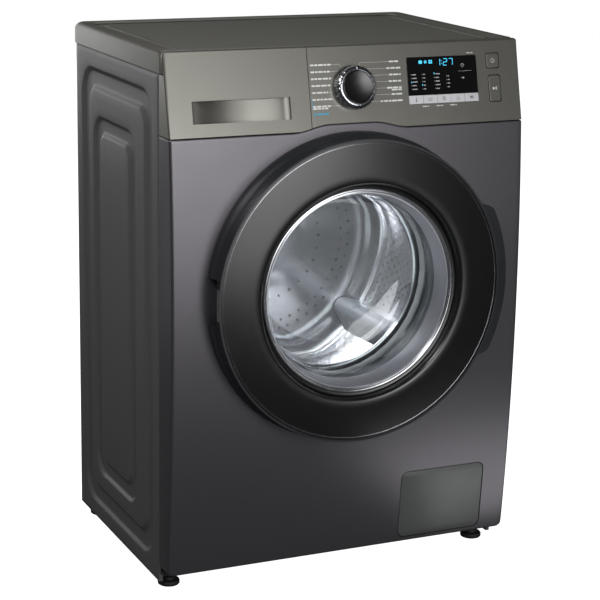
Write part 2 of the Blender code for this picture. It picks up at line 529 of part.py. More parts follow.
# ---------------------------------------------------------------- door
NOTCH = 0.0365
rim = lathe("door_outer_frame", [
    (DOOR_R0, DOOR_BACK), (DOOR_R0, 0.4585), (0.2388, 0.4640), (0.2385, 0.4880), (0.2350, 0.4880), (0.2350, 0.4630), (0.2390, 0.4570),
    (0.2390, 0.4540), (0.2335, 0.4540), (0.2335, DOOR_BACK)], "black", n=48, origin=P(HINGE_X, HINGE_D, DOOR_Z))
grip = [(0.2365 * math.cos(math.radians(a)), DOOR_Z + 0.2365 * math.sin(math.radians(a))) for a in range(-32, 35, 6)]
grip += [((0.2570 if -29 < a < 31 else 0.2470) * math.cos(math.radians(a)), DOOR_Z + (0.2570 if -29 < a < 31 else 0.2470) * math.sin(math.radians(a)))
         for a in range(34, -33, -6)]
boolean(rim, prism("handle_blade", grip, "Y", 0.4660, 0.4795, "black"), "UNION")
under = [(0.2392 * math.cos(math.radians(a)), DOOR_Z + 0.2392 * math.sin(math.radians(a))) for a in range(-24, 27, 5)]
under += [(0.2700 * math.cos(math.radians(a)), DOOR_Z + 0.2700 * math.sin(math.radians(a))) for a in range(26, -25, -5)]
boolean(rim, prism("cut_finger_gap", under, "Y", 0.4480, 0.4659, "black"))
boolean(rim, box("cut_rim_notch", -0.2600, -0.1950, 0.4400, 0.4872, DOOR_Z - NOTCH, DOOR_Z + NOTCH, "black"))

inner = lathe("door_inner_frame", [(0.1612, 0.4545), (0.2330, 0.4545), (0.2345, 0.4575), (0.2345, 0.4660), (0.2310, 0.4660), (0.2310, 0.4585), (0.1760, 0.4585),
                                   (0.1760, 0.4700), (0.1612, 0.4700)], "black", n=36, origin=P(HINGE_X, HINGE_D, DOOR_Z))
boolean(inner, box("cut_inner_notch", -0.2600, -0.1985, 0.4400, 0.4872, DOOR_Z - NOTCH, DOOR_Z + NOTCH, "black"))
boolean(inner, box("cut_hook_slot", 0.1885, 0.2115, 0.4400, 0.4872, DOOR_Z - 0.0140, DOOR_Z + 0.0140, "black"))
for sz, nm in ((-1, "low"), (1, "high")):
    z0, z1 = sorted((DOOR_Z + sz * 0.0245, DOOR_Z + sz * 0.0355))
    ear = [(HINGE_X + 0.0058 * math.cos(math.radians(a)), HINGE_D + 0.0058 * math.sin(math.radians(a))) for a in range(90, 271, 30)]
    ear += [(-0.2180, 0.4740), (-0.1965, 0.4560), (-0.1930, 0.4575), (-0.1930, 0.4680), (-0.2170, 0.4858)]
    boolean(inner, prism(f"ear_{nm}", ear, "Z", z0, z1, "black"), "UNION")
    boolean(inner, lathe(f"cut_ear_{nm}", [(0, 0.40), (0.0033, 0.40), (0.0033, 0.56), (0, 0.56)], "black", x=HINGE_X, d=HINGE_D, axis="Z", n=14))

lathe("door_front_ring", [
    (0.2378, 0.4890), (0.2378, 0.4905), (0.2366, DEPTH), (0.2200, 0.4914), (0.1900, 0.4898), (0.1720, 0.4885), (0.1688, 0.4868), (0.1672, 0.4760),
    (0.1610, 0.4738), (0.1610, 0.4712), (0.1692, 0.4725), (0.1712, 0.4850), (0.1900, 0.4868), (0.2200, 0.4884)], "gloss", n=48, origin=P(HINGE_X, HINGE_D, DOOR_Z))

lathe("door_glass", [
    (0.1606, 0.4735), (0.1606, 0.4590), (0.1545, 0.4545), (0.1510, 0.4300), (0.1475, 0.4100), (0.1380, 0.3900), (0.1150, 0.3785), (0, 0.3735)][::-1]
      + [(0.1560, 0.4735), (0.1540, 0.4610), (0.1500, 0.4560), (0.1465, 0.4300), (0.1432, 0.4110), (0.1345, 0.3935), (0.1135, 0.3830), (0, 0.3780)],
      "glass", n=36, origin=P(HINGE_X, HINGE_D, DOOR_Z))

hinge = box("door_hinge_bracket", -0.2250, -0.1830, 0.4488, 0.4506, DOOR_Z - 0.045, DOOR_Z + 0.045, "zinc")
arm = [(HINGE_X + 0.0056 * math.cos(math.radians(a)), HINGE_D + 0.0056 * math.sin(math.radians(a))) for a in range(60, 241, 30)]
arm += [(-0.2230, 0.4500), (-0.2060, 0.4500), (-0.2180, 0.4720)]
boolean(hinge, prism("hinge_arm", arm, "Z", DOOR_Z - 0.0240, DOOR_Z + 0.0240, "zinc"), "UNION")
boolean(hinge, lathe("hinge_pin", [(0, DOOR_Z - 0.0358), (0.0030, DOOR_Z - 0.0358), (0.0030, DOOR_Z + 0.0358), (0, DOOR_Z + 0.0358)], "zinc",
                     x=HINGE_X, d=HINGE_D, axis="Z", n=14), "UNION")

HOOK_X, HOOK_D = 0.2000, 0.4600
prism("door_latch_hook", [(0.1970, 0.4640), (0.1970, 0.4400), (0.1920, 0.4385), (0.1935, 0.4330), (0.2020, 0.4310), (0.2030, 0.4640)], "Z",
      DOOR_Z - 0.0100, DOOR_Z + 0.0100, "zinc", origin=P(HOOK_X, HOOK_D, DOOR_Z))

# ---------------------------------------------------------------- service flap
FLAP_Z0, FLAP_Z1 = 0.0437, 0.1580
flap_tilt = math.atan2(bow(FLAP_Z1) - bow(FLAP_Z0), FLAP_Z1 - FLAP_Z0)


def flap_point(x, z, back):
    t = (z - FLAP_Z0) / (FLAP_Z1 - FLAP_Z0)
    return P(x, bow(FLAP_Z0) * (1 - t) + bow(FLAP_Z1) * t - back, z)


FLAP_AXIS = P(0.1772, bow(FLAP_Z0) - 0.0003, FLAP_Z0 + 0.0003)
flap = rrect(0.1021, 0.2524, FLAP_Z0, FLAP_Z1, 0.011, 4)
from_loops("filter_flap", [[flap_point(x, z, b) for x, z in flap] for b in (0.0, 0.0028)], "olive", origin=FLAP_AXIS)

# ---------------------------------------------------------------- feet
for nm, sx, k in (("front_left", -1, 0), ("front_right", 1, 0), ("rear_left", -1, 1), ("rear_right", 1, 1)):
    lathe(f"foot_{nm}", [(0, 0.0), (0.0165, 0.0), (0.0175, 0.0015), (0.0175, 0.0065), (0.0150, 0.0085), (0.0100, 0.0100), (0.0100, 0.0134), (0.0052, 0.0134), (0.0052, 0.0400), (0, 0.0400)],
          "black", x=sx * FOOT_X, d=FOOT_D[k], axis="Z", n=14, origin=P(sx * FOOT_X, FOOT_D[k], 0.0))
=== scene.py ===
import math
import random

import bmesh
import bpy
from mathutils import Matrix, Vector


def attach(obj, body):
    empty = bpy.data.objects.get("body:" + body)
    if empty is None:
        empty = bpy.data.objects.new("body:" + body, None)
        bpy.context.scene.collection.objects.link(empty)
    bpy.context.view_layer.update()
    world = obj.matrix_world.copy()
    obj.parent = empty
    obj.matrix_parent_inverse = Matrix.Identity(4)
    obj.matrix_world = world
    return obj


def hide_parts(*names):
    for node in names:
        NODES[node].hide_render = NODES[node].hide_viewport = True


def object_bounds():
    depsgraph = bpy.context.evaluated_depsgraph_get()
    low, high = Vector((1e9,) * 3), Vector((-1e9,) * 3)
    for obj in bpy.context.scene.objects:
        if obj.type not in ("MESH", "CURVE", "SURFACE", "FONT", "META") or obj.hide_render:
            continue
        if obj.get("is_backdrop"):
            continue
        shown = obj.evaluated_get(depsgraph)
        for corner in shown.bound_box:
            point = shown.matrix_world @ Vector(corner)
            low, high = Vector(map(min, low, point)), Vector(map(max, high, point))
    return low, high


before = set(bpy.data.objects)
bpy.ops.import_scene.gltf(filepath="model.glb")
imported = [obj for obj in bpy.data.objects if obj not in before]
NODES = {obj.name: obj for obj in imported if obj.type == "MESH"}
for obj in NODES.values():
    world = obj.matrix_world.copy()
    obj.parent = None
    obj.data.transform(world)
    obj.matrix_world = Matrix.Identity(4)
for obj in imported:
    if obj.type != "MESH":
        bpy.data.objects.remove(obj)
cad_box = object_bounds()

# ------------------------------------------------------------------ the frame's dimensions
DEPTH = 0.4916
BACK = DEPTH / 2
SKIN_X = 0.298
SHEET = 0.0012
LIP_Z = 0.8145
PANEL_Z0, PANEL_Z1 = 0.036, 0.7225
DOOR_Z = 0.4782
LAND_D, DOOR_BACK = 0.4485, 0.4512
HINGE_X, HINGE_D = -0.232, 0.480
FASCIA_Z0, FASCIA_D0 = 0.7234, 0.4386
TILT = math.radians(12.94)
FS, FC = math.sin(TILT), math.cos(TILT)
NORMAL = Vector((0, -FC, FS))
FOOT_X, FOOT_D = 0.274, (0.373, 0.036)
PUMP_X, PUMP_Z = 0.178, 0.097
UP_S = Vector((0, FS, FC))


def P(x, d, z):
    return Vector((x, BACK - d, z))


def F(x, s, h):
    return P(x, FASCIA_D0 - s * FS + h * FC, FASCIA_Z0 + s * FC + h * FS)


def S(z):
    """Distance up the control panel of a point at height z on its face."""
    return (z - FASCIA_Z0) / FC


def smooth(t):
    t = max(0.0, min(1.0, t))
    return t * t * (3 - 2 * t)


def bow(z):
    return 0.452 - 0.14 * (z - 0.42) ** 2


def face_d(x, z):
    """Depth of the visible front sheet, which just clears the back of the door."""
    return 0.4503 - 0.1222 * (z - 0.42) ** 2


def wave(x):
    return 0.0105 * smooth((0.098 - abs(x)) / 0.060)


# ------------------------------------------------------------------ materials
def lin(r, g, b):
    out = []
    for v in (r, g, b):
        v /= 255.0
        out.append(v / 12.92 if v <= 0.04045 else ((v + 0.055) / 1.055) ** 2.4)
    return out


def principled(name, rgb, rough, metal=0.0, spec=0.5, coat=0.0, coat_rough=0.05, var=0.05, scale=18.0, rvar=0.04,
               bump=0.0, bscale=900.0, bdist=0.00012, stretch=(1, 1, 1), fleck=0.0, trans=0.0, ior=1.5, emit=None,
               emit_strength=0.0, aniso=0.0, grime=0.0):
    m = bpy.data.materials.new(name)
    m.use_nodes = True
    nt = m.node_tree
    b = nt.nodes["Principled BSDF"]
    b.inputs["Metallic"].default_value = metal
    b.inputs["Specular IOR Level"].default_value = spec
    b.inputs["Coat Weight"].default_value = coat
    b.inputs["Coat Roughness"].default_value = coat_rough
    b.inputs["IOR"].default_value = ior
    b.inputs["Transmission Weight"].default_value = trans
    b.inputs["Anisotropic"].default_value = aniso
    tc = nt.nodes.new("ShaderNodeTexCoord")
    mp = nt.nodes.new("ShaderNodeMapping")
    mp.inputs["Scale"].default_value = stretch
    nt.links.new(tc.outputs["Object"], mp.inputs["Vector"])

    def noise(sc, detail=3.0):
        n = nt.nodes.new("ShaderNodeTexNoise")
        n.inputs["Scale"].default_value = sc
        n.inputs["Detail"].default_value = detail
        nt.links.new(mp.outputs["Vector"], n.inputs["Vector"])
        return n.outputs["Fac"]

    def remap(src, lo, hi, a=0.3, z=0.7):
        r = nt.nodes.new("ShaderNodeMapRange")
        r.inputs["From Min"].default_value, r.inputs["From Max"].default_value = a, z
        r.inputs["To Min"].default_value, r.inputs["To Max"].default_value = lo, hi
        nt.links.new(src, r.inputs["Value"])
        return r.outputs["Result"]

    col = lin(*rgb)
    tint = nt.nodes.new("ShaderNodeVectorMath")
    tint.operation = "SCALE"
    tint.inputs[0].default_value = col
    fac = remap(noise(scale), 1 - var, 1 + var)
    if fleck:
        mul = nt.nodes.new("ShaderNodeMath")
        mul.operation = "MULTIPLY"
        nt.links.new(fac, mul.inputs[0])
        nt.links.new(remap(noise(2600.0, 1.0), 1 - fleck, 1 + fleck, 0.35, 0.65), mul.inputs[1])
        fac = mul.outputs[0]
    nt.links.new(fac, tint.inputs["Scale"])
    nt.links.new(tint.outputs["Vector"], b.inputs["Base Color"])
    nt.links.new(remap(noise(scale * 2.7), max(0.0, rough - rvar), min(1.0, rough + rvar)), b.inputs["Roughness"])
    if bump:
        bp = nt.nodes.new("ShaderNodeBump")
        bp.inputs["Strength"].default_value = bump
        bp.inputs["Distance"].default_value = bdist
        nt.links.new(noise(bscale, 2.0), bp.inputs["Height"])
        nt.links.new(bp.outputs["Normal"], b.inputs["Normal"])
    if emit:
        b.inputs["Emission Color"].default_value = (*lin(*emit), 1)
        b.inputs["Emission Strength"].default_value = emit_strength
    return m


M = {
    "side": principled("side_paint", (82, 82, 83), 0.44, 0.12, bump=0.14, bscale=900, bdist=0.0001, fleck=0.05, var=0.015, rvar=0.01),
    "inox": principled("inox_paint", (92, 90, 94), 0.34, 0.80, coat=0.10, coat_rough=0.30, bump=0.06, bscale=1700, bdist=0.00006, fleck=0.07, var=0.010, rvar=0.008),
    "olive": principled("panel_plastic", (116, 115, 109), 0.32, 0.76, bump=0.08, bscale=1700, bdist=0.00005, fleck=0.05, var=0.010, rvar=0.008),
    "top": principled("worktop_plastic", (90, 89, 83), 0.38, 0.35, bump=0.12, bscale=1300, bdist=0.00008, fleck=0.04, var=0.015, rvar=0.01),
    "board": principled("worktop_board", (92, 91, 85), 0.46, 0.15, bump=0.22, bscale=1100, bdist=0.0001, fleck=0.06, var=0.02, rvar=0.02),
    "flap": principled("flap_plastic", (84, 85, 85), 0.42, 0.35, bump=0.25, bscale=1100, fleck=0.05, var=0.03),
    "black": principled("black_plastic", (26, 26, 28), 0.36, 0.0, bump=0.22, bscale=1200, var=0.10),
    "satin_black": principled("satin_black", (34, 35, 38), 0.30, 0.0, bump=0.05, bscale=1700, bdist=0.00005, var=0.03, rvar=0.015),
    "gloss": principled("black_gloss", (7, 7, 8), 0.26, 0.0, coat=0.25, coat_rough=0.24, var=0.04, rvar=0.01),
    "display": principled("display_gloss", (6, 6, 7), 0.06, 0.0, coat=0.4, coat_rough=0.03, var=0.05, rvar=0.01),
    "glass": principled("door_glass", (236, 242, 244), 0.012, 0.0, trans=1.0, ior=1.47, var=0.01, rvar=0.006),
    "chrome": principled("satin_chrome", (196, 197, 201), 0.16, 1.0, var=0.04, rvar=0.03, bump=0.06, bscale=1600),
    "satin": principled("satin_steel", (176, 177, 182), 0.34, 0.9, var=0.03, rvar=0.04, stretch=(1, 1, 1), bump=0.05, bscale=900),
    "dialring": principled("dial_chrome", (150, 151, 156), 0.16, 1.0, var=0.05, rvar=0.04),
    "silver": principled("silver_key", (200, 200, 203), 0.38, 0.35, var=0.02, bump=0.05),
    "steel": principled("drum_steel", (190, 190, 193), 0.22, 1.0, var=0.03, scale=30, rvar=0.03, stretch=(1, 0.12, 1)),
    "bright": principled("bright_steel", (190, 191, 194), 0.25, 1.0, var=0.05, bump=0.1),
    "zinc": principled("galvanised", (150, 152, 154), 0.42, 0.85, var=0.16, scale=55, rvar=0.10, bump=0.15, bscale=300),
    "cast": principled("cast_aluminium", (150, 150, 150), 0.50, 0.85, var=0.08, bump=0.5, bscale=420, bdist=0.0003),
    "tub": principled("tub_plastic", (112, 113, 114), 0.52, 0.0, var=0.06, bump=0.3, bscale=500, bdist=0.0002),
    "white": principled("white_plastic", (205, 205, 202), 0.36, 0.0, var=0.04, bump=0.15, bscale=900),
    "lifter": principled("lifter_plastic", (120, 123, 130), 0.30, 0.0, var=0.06, bump=0.12, bscale=700),
    "seal": principled("seal_rubber", (112, 113, 116), 0.52, 0.0, var=0.08, bump=0.35, bscale=650, bdist=0.00025),
    "rubber": principled("black_rubber", (22, 22, 22), 0.62, 0.0, var=0.10, bump=0.4, bscale=650, bdist=0.0003),
    "stone": principled("concrete", (150, 147, 140), 0.88, 0.0, var=0.20, scale=60, bump=0.9, bscale=330, bdist=0.0008),
    "print": principled("grey_print", (214, 214, 212), 0.45, 0.0, var=0.05),
    "print_dim": principled("dim_print", (168, 169, 170), 0.45, 0.0, var=0.05),
    "print_dark": principled("dark_print", (58, 58, 60), 0.45, 0.0, var=0.05),
    "cyan": principled("cyan_light", (60, 170, 205), 0.4, 0.0, var=0.05, emit=(66, 190, 228), emit_strength=0.85),
    "cyan_print": principled("cyan_print", (52, 150, 184), 0.45, 0.0, var=0.05),
    # near-black discs: painted shade for the drum's perforations
    "hole_shade": principled("drum_hole_shade", (34, 34, 36), 0.55, 0.3, var=0.20),
    # near-black sheet: painted shade for the gaps round the keys and the display
    "gap_shade": principled("painted_gap_shade", (20, 20, 20), 0.7, 0.0, var=0.20),
}


# ------------------------------------------------------------------ mesh helpers
def new_obj(name, me):
    ob = bpy.data.objects.new(name, me)
    bpy.context.scene.collection.objects.link(ob)
    return ob


def obj_from(name, bm, mat=None, deg=35):
    bmesh.ops.recalc_face_normals(bm, faces=bm.faces)
    me = bpy.data.meshes.new(name)
    bm.to_mesh(me)
    bm.free()
    ob = new_obj(name, me)
    if mat:
        me.materials.append(M[mat])
    me.shade_smooth()
    me.set_sharp_from_angle(angle=math.radians(deg))
    return ob


def from_loops(name, loops, mat=None, ring=False, deg=35):
    bm = bmesh.new()
    rows = [[bm.verts.new(p) for p in lp] for lp in loops]
    n = len(rows[0])
    for a, b in list(zip(rows, rows[1:])) + ([(rows[-1], rows[0])] if ring else []):
        for i in range(n):
            j = (i + 1) % n
            bm.faces.new((a[i], a[j], b[j], b[i]))
    if not ring:
        bm.faces.new(rows[0][::-1])
        bm.faces.new(rows[-1])
    return obj_from(name, bm, mat, deg)


def rrect(x0, x1, z0, z1, r, n=8):
    pts = []
    for cx, cz, a0 in ((x1 - r, z0 + r, -90), (x1 - r, z1 - r, 0), (x0 + r, z1 - r, 90), (x0 + r, z0 + r, 180)):
        for i in range(n + 1):
            a = math.radians(a0 + 90 * i / n)
            pts.append((cx + r * math.cos(a), cz + r * math.sin(a)))
    return pts


def prism(name, pts, axis, a, b, mat=None, deg=35):
    put = {"Y": lambda p, t: P(p[0], t, p[1]), "X": lambda p, t: P(t, p[0], p[1]), "Z": lambda p, t: P(p[0], p[1], t)}[axis]
    return from_loops(name, [[put(p, t) for p in pts] for t in (a, b)], mat, deg=deg)


def box(name, x0, x1, d0, d1, z0, z1, mat=None):
    return prism(name, [(x0, z0), (x1, z0), (x1, z1), (x0, z1)], "Y", d0, d1, mat)


def fplate(name, pts, h0, h1, mat=None, edge=0.0):
    """A plate on the control panel from an outline in (x, s), with a small rounded top edge."""
    cx = sum(p[0] for p in pts) / len(pts)
    cs = sum(p[1] for p in pts) / len(pts)
    loops = [(h0, 0.0), (h1 - edge, 0.0)]
    if edge:
        loops += [(h1 - edge * 0.3, edge * 0.3), (h1, edge)]
    out = []
    for h, inset in loops:
        row = []
        for x, s in pts:
            dx, ds = cx - x, cs - s
            lim = max(abs(dx), abs(ds), 1e-9)
            row.append(F(x + math.copysign(min(inset, abs(dx)), dx), s + math.copysign(min(inset, abs(ds)), ds), h))
        out.append(row)
    ob = from_loops(name, out, mat, deg=20 if not edge else 60)
    return soften(ob, 60) if edge else ob


def frect(name, x0, x1, s0, s1, h0, h1, mat=None, r=0.0, edge=0.0, n=6):
    pts = rrect(x0, x1, s0, s1, r, n) if r else [(x0, s0), (x1, s0), (x1, s1), (x0, s1)]
    return fplate(name, pts, h0, h1, mat, edge)


def lathe(name, prof, mat=None, x=0.0, z=DOOR_Z, n=160, axis="Y", d=0.0, base=None, deg=30):
    if axis == "N":
        u, v, w = Vector((1, 0, 0)), UP_S, NORMAL

    def at(r, s, a):
        c, k = r * math.cos(a), r * math.sin(a)
        if axis == "Y":
            return P(x + c, s, z + k)
        if axis == "Z":
            return P(x + c, d + k, s)
        return base + u * c + v * k + w * s

    bm = bmesh.new()
    rows = []
    for r, s in prof:
        if r < 1e-7:
            rows.append([bm.verts.new(at(0, s, 0))])
        else:
            rows.append([bm.verts.new(at(r, s, 2 * math.pi * i / n)) for i in range(n)])
    solid = len(rows[0]) == 1 and len(rows[-1]) == 1
    for p, q in list(zip(rows, rows[1:])) + ([] if solid else [(rows[-1], rows[0])]):
        for i in range(n):
            j = (i + 1) % n
            if len(p) == 1:
                bm.faces.new((p[0], q[j], q[i]))
            elif len(q) == 1:
                bm.faces.new((p[i], p[j], q[0]))
            else:
                bm.faces.new((p[i], p[j], q[j], q[i]))
    return obj_from(name, bm, mat, deg)


def rounded(prof, r=0.001, k=3, closed=True, skip=()):
    """Rounds a profile's corners: each becomes a short arc that starts and ends r from it."""
    n = len(prof)
    out = []
    for i, p in enumerate(prof):
        if (not closed and i in (0, n - 1)) or i in skip:
            out.append(p)
            continue
        a, c = Vector(prof[i - 1]), Vector(prof[(i + 1) % n])
        p = Vector(p)
        la, lc = (a - p).length, (c - p).length
        t = min(r, la * 0.45, lc * 0.45)
        s, e = p + (a - p).normalized() * t, p + (c - p).normalized() * t
        for j in range(k + 1):
            u = j / k
            out.append(tuple(s * (1 - u) ** 2 + p * 2 * u * (1 - u) + e * u * u))
    return out


def apply_all(ob, deg=35):
    dg = bpy.context.evaluated_depsgraph_get()
    me = bpy.data.meshes.new_from_object(ob.evaluated_get(dg))
    mats = [m for m in ob.data.materials]
    ob.modifiers.clear()
    ob.data = me
    me.materials.clear()
    for m in mats[:1]:
        me.materials.append(m)
    for p in me.polygons:
        p.material_index = 0
    me.shade_smooth()
    me.set_sharp_from_angle(angle=math.radians(deg))
    return ob


def boolean(ob, *others, how="DIFFERENCE", deg=35):
    for o in others:
        m = ob.modifiers.new("b", "BOOLEAN")
        m.operation, m.object = how, o
        apply_all(ob, deg)
        bpy.data.objects.remove(o)
    return ob


def soften(ob, deg=40):
    """Area weighted normals, so that a flat face beside a small bevel stays flat."""
    ob.data.set_sharp_from_angle(angle=math.radians(deg))
    m = ob.modifiers.new("wn", "WEIGHTED_NORMAL")
    m.keep_sharp, m.weight, m.mode = True, 100, "FACE_AREA"
    dg = bpy.context.evaluated_depsgraph_get()
    me = bpy.data.meshes.new_from_object(ob.evaluated_get(dg))
    ob.modifiers.clear()
    ob.data = me
    return ob


def round_edges(ob, pick, width, seg=4):
    """Rounds the edges whose two ends both satisfy pick."""
    bm = bmesh.new()
    bm.from_mesh(ob.data)
    edges = [e for e in bm.edges if pick(e.verts[0].co, e.verts[1].co)]
    bmesh.ops.bevel(bm, geom=edges, offset=width, segments=seg, profile=0.5, affect="EDGES", clamp_overlap=True)
    bm.to_mesh(ob.data)
    bm.free()
    return ob


def bevel(ob, width, seg=3, angle=35, deg=50):
    m = ob.modifiers.new("bevel", "BEVEL")
    m.width, m.segments, m.limit_method, m.angle_limit = width, seg, "ANGLE", math.radians(angle)
    m.harden_normals = False
    m.use_clamp_overlap = True
    return apply_all(ob, deg)


def tube(name, pts, r, mat, n=10, ring=False):
    """A swept round bar through pts."""
    pts = [Vector(p) for p in pts]
    loops = []
    ref = None
    for i, p in enumerate(pts):
        a, b = pts[max(0, i - 1)], pts[min(len(pts) - 1, i + 1)]
        t = (b - a).normalized()
        if ref is None:
            ref = t.orthogonal().normalized()
        ref = (ref - t * ref.dot(t)).normalized()
        w = t.cross(ref)
        loops.append([p + ref * r * math.cos(2 * math.pi * k / n) + w * r * math.sin(2 * math.pi * k / n) for k in range(n)])
    return from_loops(name, loops, mat)


def add_mesh(target, other):
    """Joins other into target as one mesh, keeping target's material."""
    bm = bmesh.new()
    bm.from_mesh(target.data)
    bm.from_mesh(other.data)
    bm.to_mesh(target.data)
    bm.free()
    bpy.data.objects.remove(other)
    return target


def join(name, obs, mat):
    base = obs[0]
    bm = bmesh.new()
    for o in obs:
        bm.from_mesh(o.data)
    me = bpy.data.meshes.new(name)
    bm.to_mesh(me)
    bm.free()
    for o in obs:
        bpy.data.objects.remove(o)
    me.materials.append(M[mat])
    for p in me.polygons:
        p.material_index = 0
    me.shade_smooth()
    me.set_sharp_from_angle(angle=math.radians(35))
    return new_obj(name, me)


def put(ob, body, mat, *nodes):
    """Finishes a piece: material, body it rides on and the nodes it stands for."""
    ob.data.materials.clear()
    ob.data.materials.append(M[mat])
    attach(ob, body)
    if nodes:
        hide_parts(*nodes)
    return ob


# ------------------------------------------------------------------ camera, light, stage
az, el, roll = math.radians(-24.65), math.radians(14.54), 0.0183
back = Vector((math.sin(az) * math.cos(el), -math.cos(az) * math.cos(el), math.sin(el)))
right = Vector((0, 0, 1)).cross(back).normalized()
up = back.cross(right)
r2 = right * math.cos(roll) + up * math.sin(roll)
u2 = -right * math.sin(roll) + up * math.cos(roll)
cam_data = bpy.data.cameras.new("camera")
cam_data.lens = 113.98
cam_data.sensor_width = 36
cam_data.clip_end = 50
cam = bpy.data.objects.new("camera", cam_data)
bpy.context.scene.collection.objects.link(cam)
m3 = Matrix((r2, u2, back)).transposed()
cam.matrix_world = Matrix.Translation(Vector((-1.26297, -2.55868 - 0.45 + BACK, 1.19644))) @ m3.to_4x4()
bpy.context.scene.camera = cam
bpy.context.scene.view_settings.view_transform = "Standard"
bpy.context.scene.view_settings.look = "None"

world = bpy.data.worlds.new("studio")
bpy.context.scene.world = world
world.use_nodes = True
wn = world.node_tree
wn.nodes.clear()
w_out = wn.nodes.new("ShaderNodeOutputWorld")
w_mix = wn.nodes.new("ShaderNodeMixShader")
w_path = wn.nodes.new("ShaderNodeLightPath")
w_white = wn.nodes.new("ShaderNodeBackground")
w_white.inputs["Color"].default_value = (1, 1, 1, 1)
w_white.inputs["Strength"].default_value = 1.0
w_env = wn.nodes.new("ShaderNodeBackground")
w_env.inputs["Color"].default_value = (0.97, 0.98, 1, 1)
w_env.inputs["Strength"].default_value = 0.075
wn.links.new(w_path.outputs["Is Camera Ray"], w_mix.inputs[0])
wn.links.new(w_env.outputs[0], w_mix.inputs[1])
wn.links.new(w_white.outputs[0], w_mix.inputs[2])
wn.links.new(w_mix.outputs[0], w_out.inputs[0])


def area(name, loc, target, size, size_y, power, colour=(1, 1, 1), spread=180):
    ld = bpy.data.lights.new(name, "AREA")
    ld.shape, ld.size, ld.size_y, ld.energy, ld.color = "RECTANGLE", size, size_y, power, colour
    ld.spread = math.radians(spread)
    ob = bpy.data.objects.new(name, ld)
    bpy.context.scene.collection.objects.link(ob)
    ob.location = loc
    ob.rotation_euler = (Vector(target) - Vector(loc)).to_track_quat("-Z", "Y").to_euler()
    return ob


area("key_front", (-0.10, -3.5, 1.40), (-0.05, 0, 0.62), 2.4, 1.5, 42)
area("front_card", (0.52, -2.38, 0.63), (0, -0.25, 0.63), 0.84, 1.22, 10.8)
area("floor_card", (0.43, -0.45, 0.004), (0.43, -0.45, 1.0), 0.42, 0.34, 0.75).visible_camera = False
area("side_graze", (-2.1, -2.4, 2.9), (-0.2, 0, 0.5), 1.0, 1.0, 16)
area("side_top", (-1.30, -0.85, 1.90), (-0.3, 0, 0.55), 0.5, 0.5, 19)
area("back_card", (-1.10, 1.20, 0.45), (-0.3, -0.2, 0.5), 0.5, 0.9, 0.4)
area("back_fill", (-0.80, 3.20, 0.90), (0, 0, 0.5), 1.8, 1.2, 14).visible_camera = False
area("top_soft", (0.1, 1.2, 2.8), (0, 0, 0.7), 2.0, 1.4, 10)
area("right_rim", (2.8, -1.0, 1.2), (0, 0, 0.5), 0.5, 1.8, 4)
drum_light = area("drum_fill", P(-0.02, 0.352, DOOR_Z + 0.125), P(0.02, 0.10, DOOR_Z - 0.08), 0.14, 0.03, 1.5)
drum_light.visible_camera = False
drum_light.visible_transmission = False

fl = bmesh.new()
vs = [fl.verts.new(p) for p in ((-6, -6, -0.0003), (6, -6, -0.0003), (6, 6, -0.0003), (-6, 6, -0.0003))]
fl.faces.new(vs)
floor = obj_from("floor", fl)
fm = bpy.data.materials.new("floor")
fm.use_nodes = True
fb = fm.node_tree.nodes["Principled BSDF"]
fn = fm.node_tree.nodes.new("ShaderNodeTexNoise")
fn.inputs["Scale"].default_value = 3.0
fr = fm.node_tree.nodes.new("ShaderNodeValToRGB")
fr.color_ramp.elements[0].color = (0.90, 0.90, 0.90, 1)
fr.color_ramp.elements[1].color = (0.94, 0.94, 0.94, 1)
fm.node_tree.links.new(fn.outputs["Fac"], fr.inputs[0])
fm.node_tree.links.new(fr.outputs[0], fb.inputs["Base Color"])
fb.inputs["Roughness"].default_value = 0.9
fb.inputs["Emission Color"].default_value = (1, 1, 1, 1)
fb.inputs["Emission Strength"].default_value = 1.05
floor.data.materials.append(fm)
floor.visible_glossy = False
floor.visible_diffuse = False
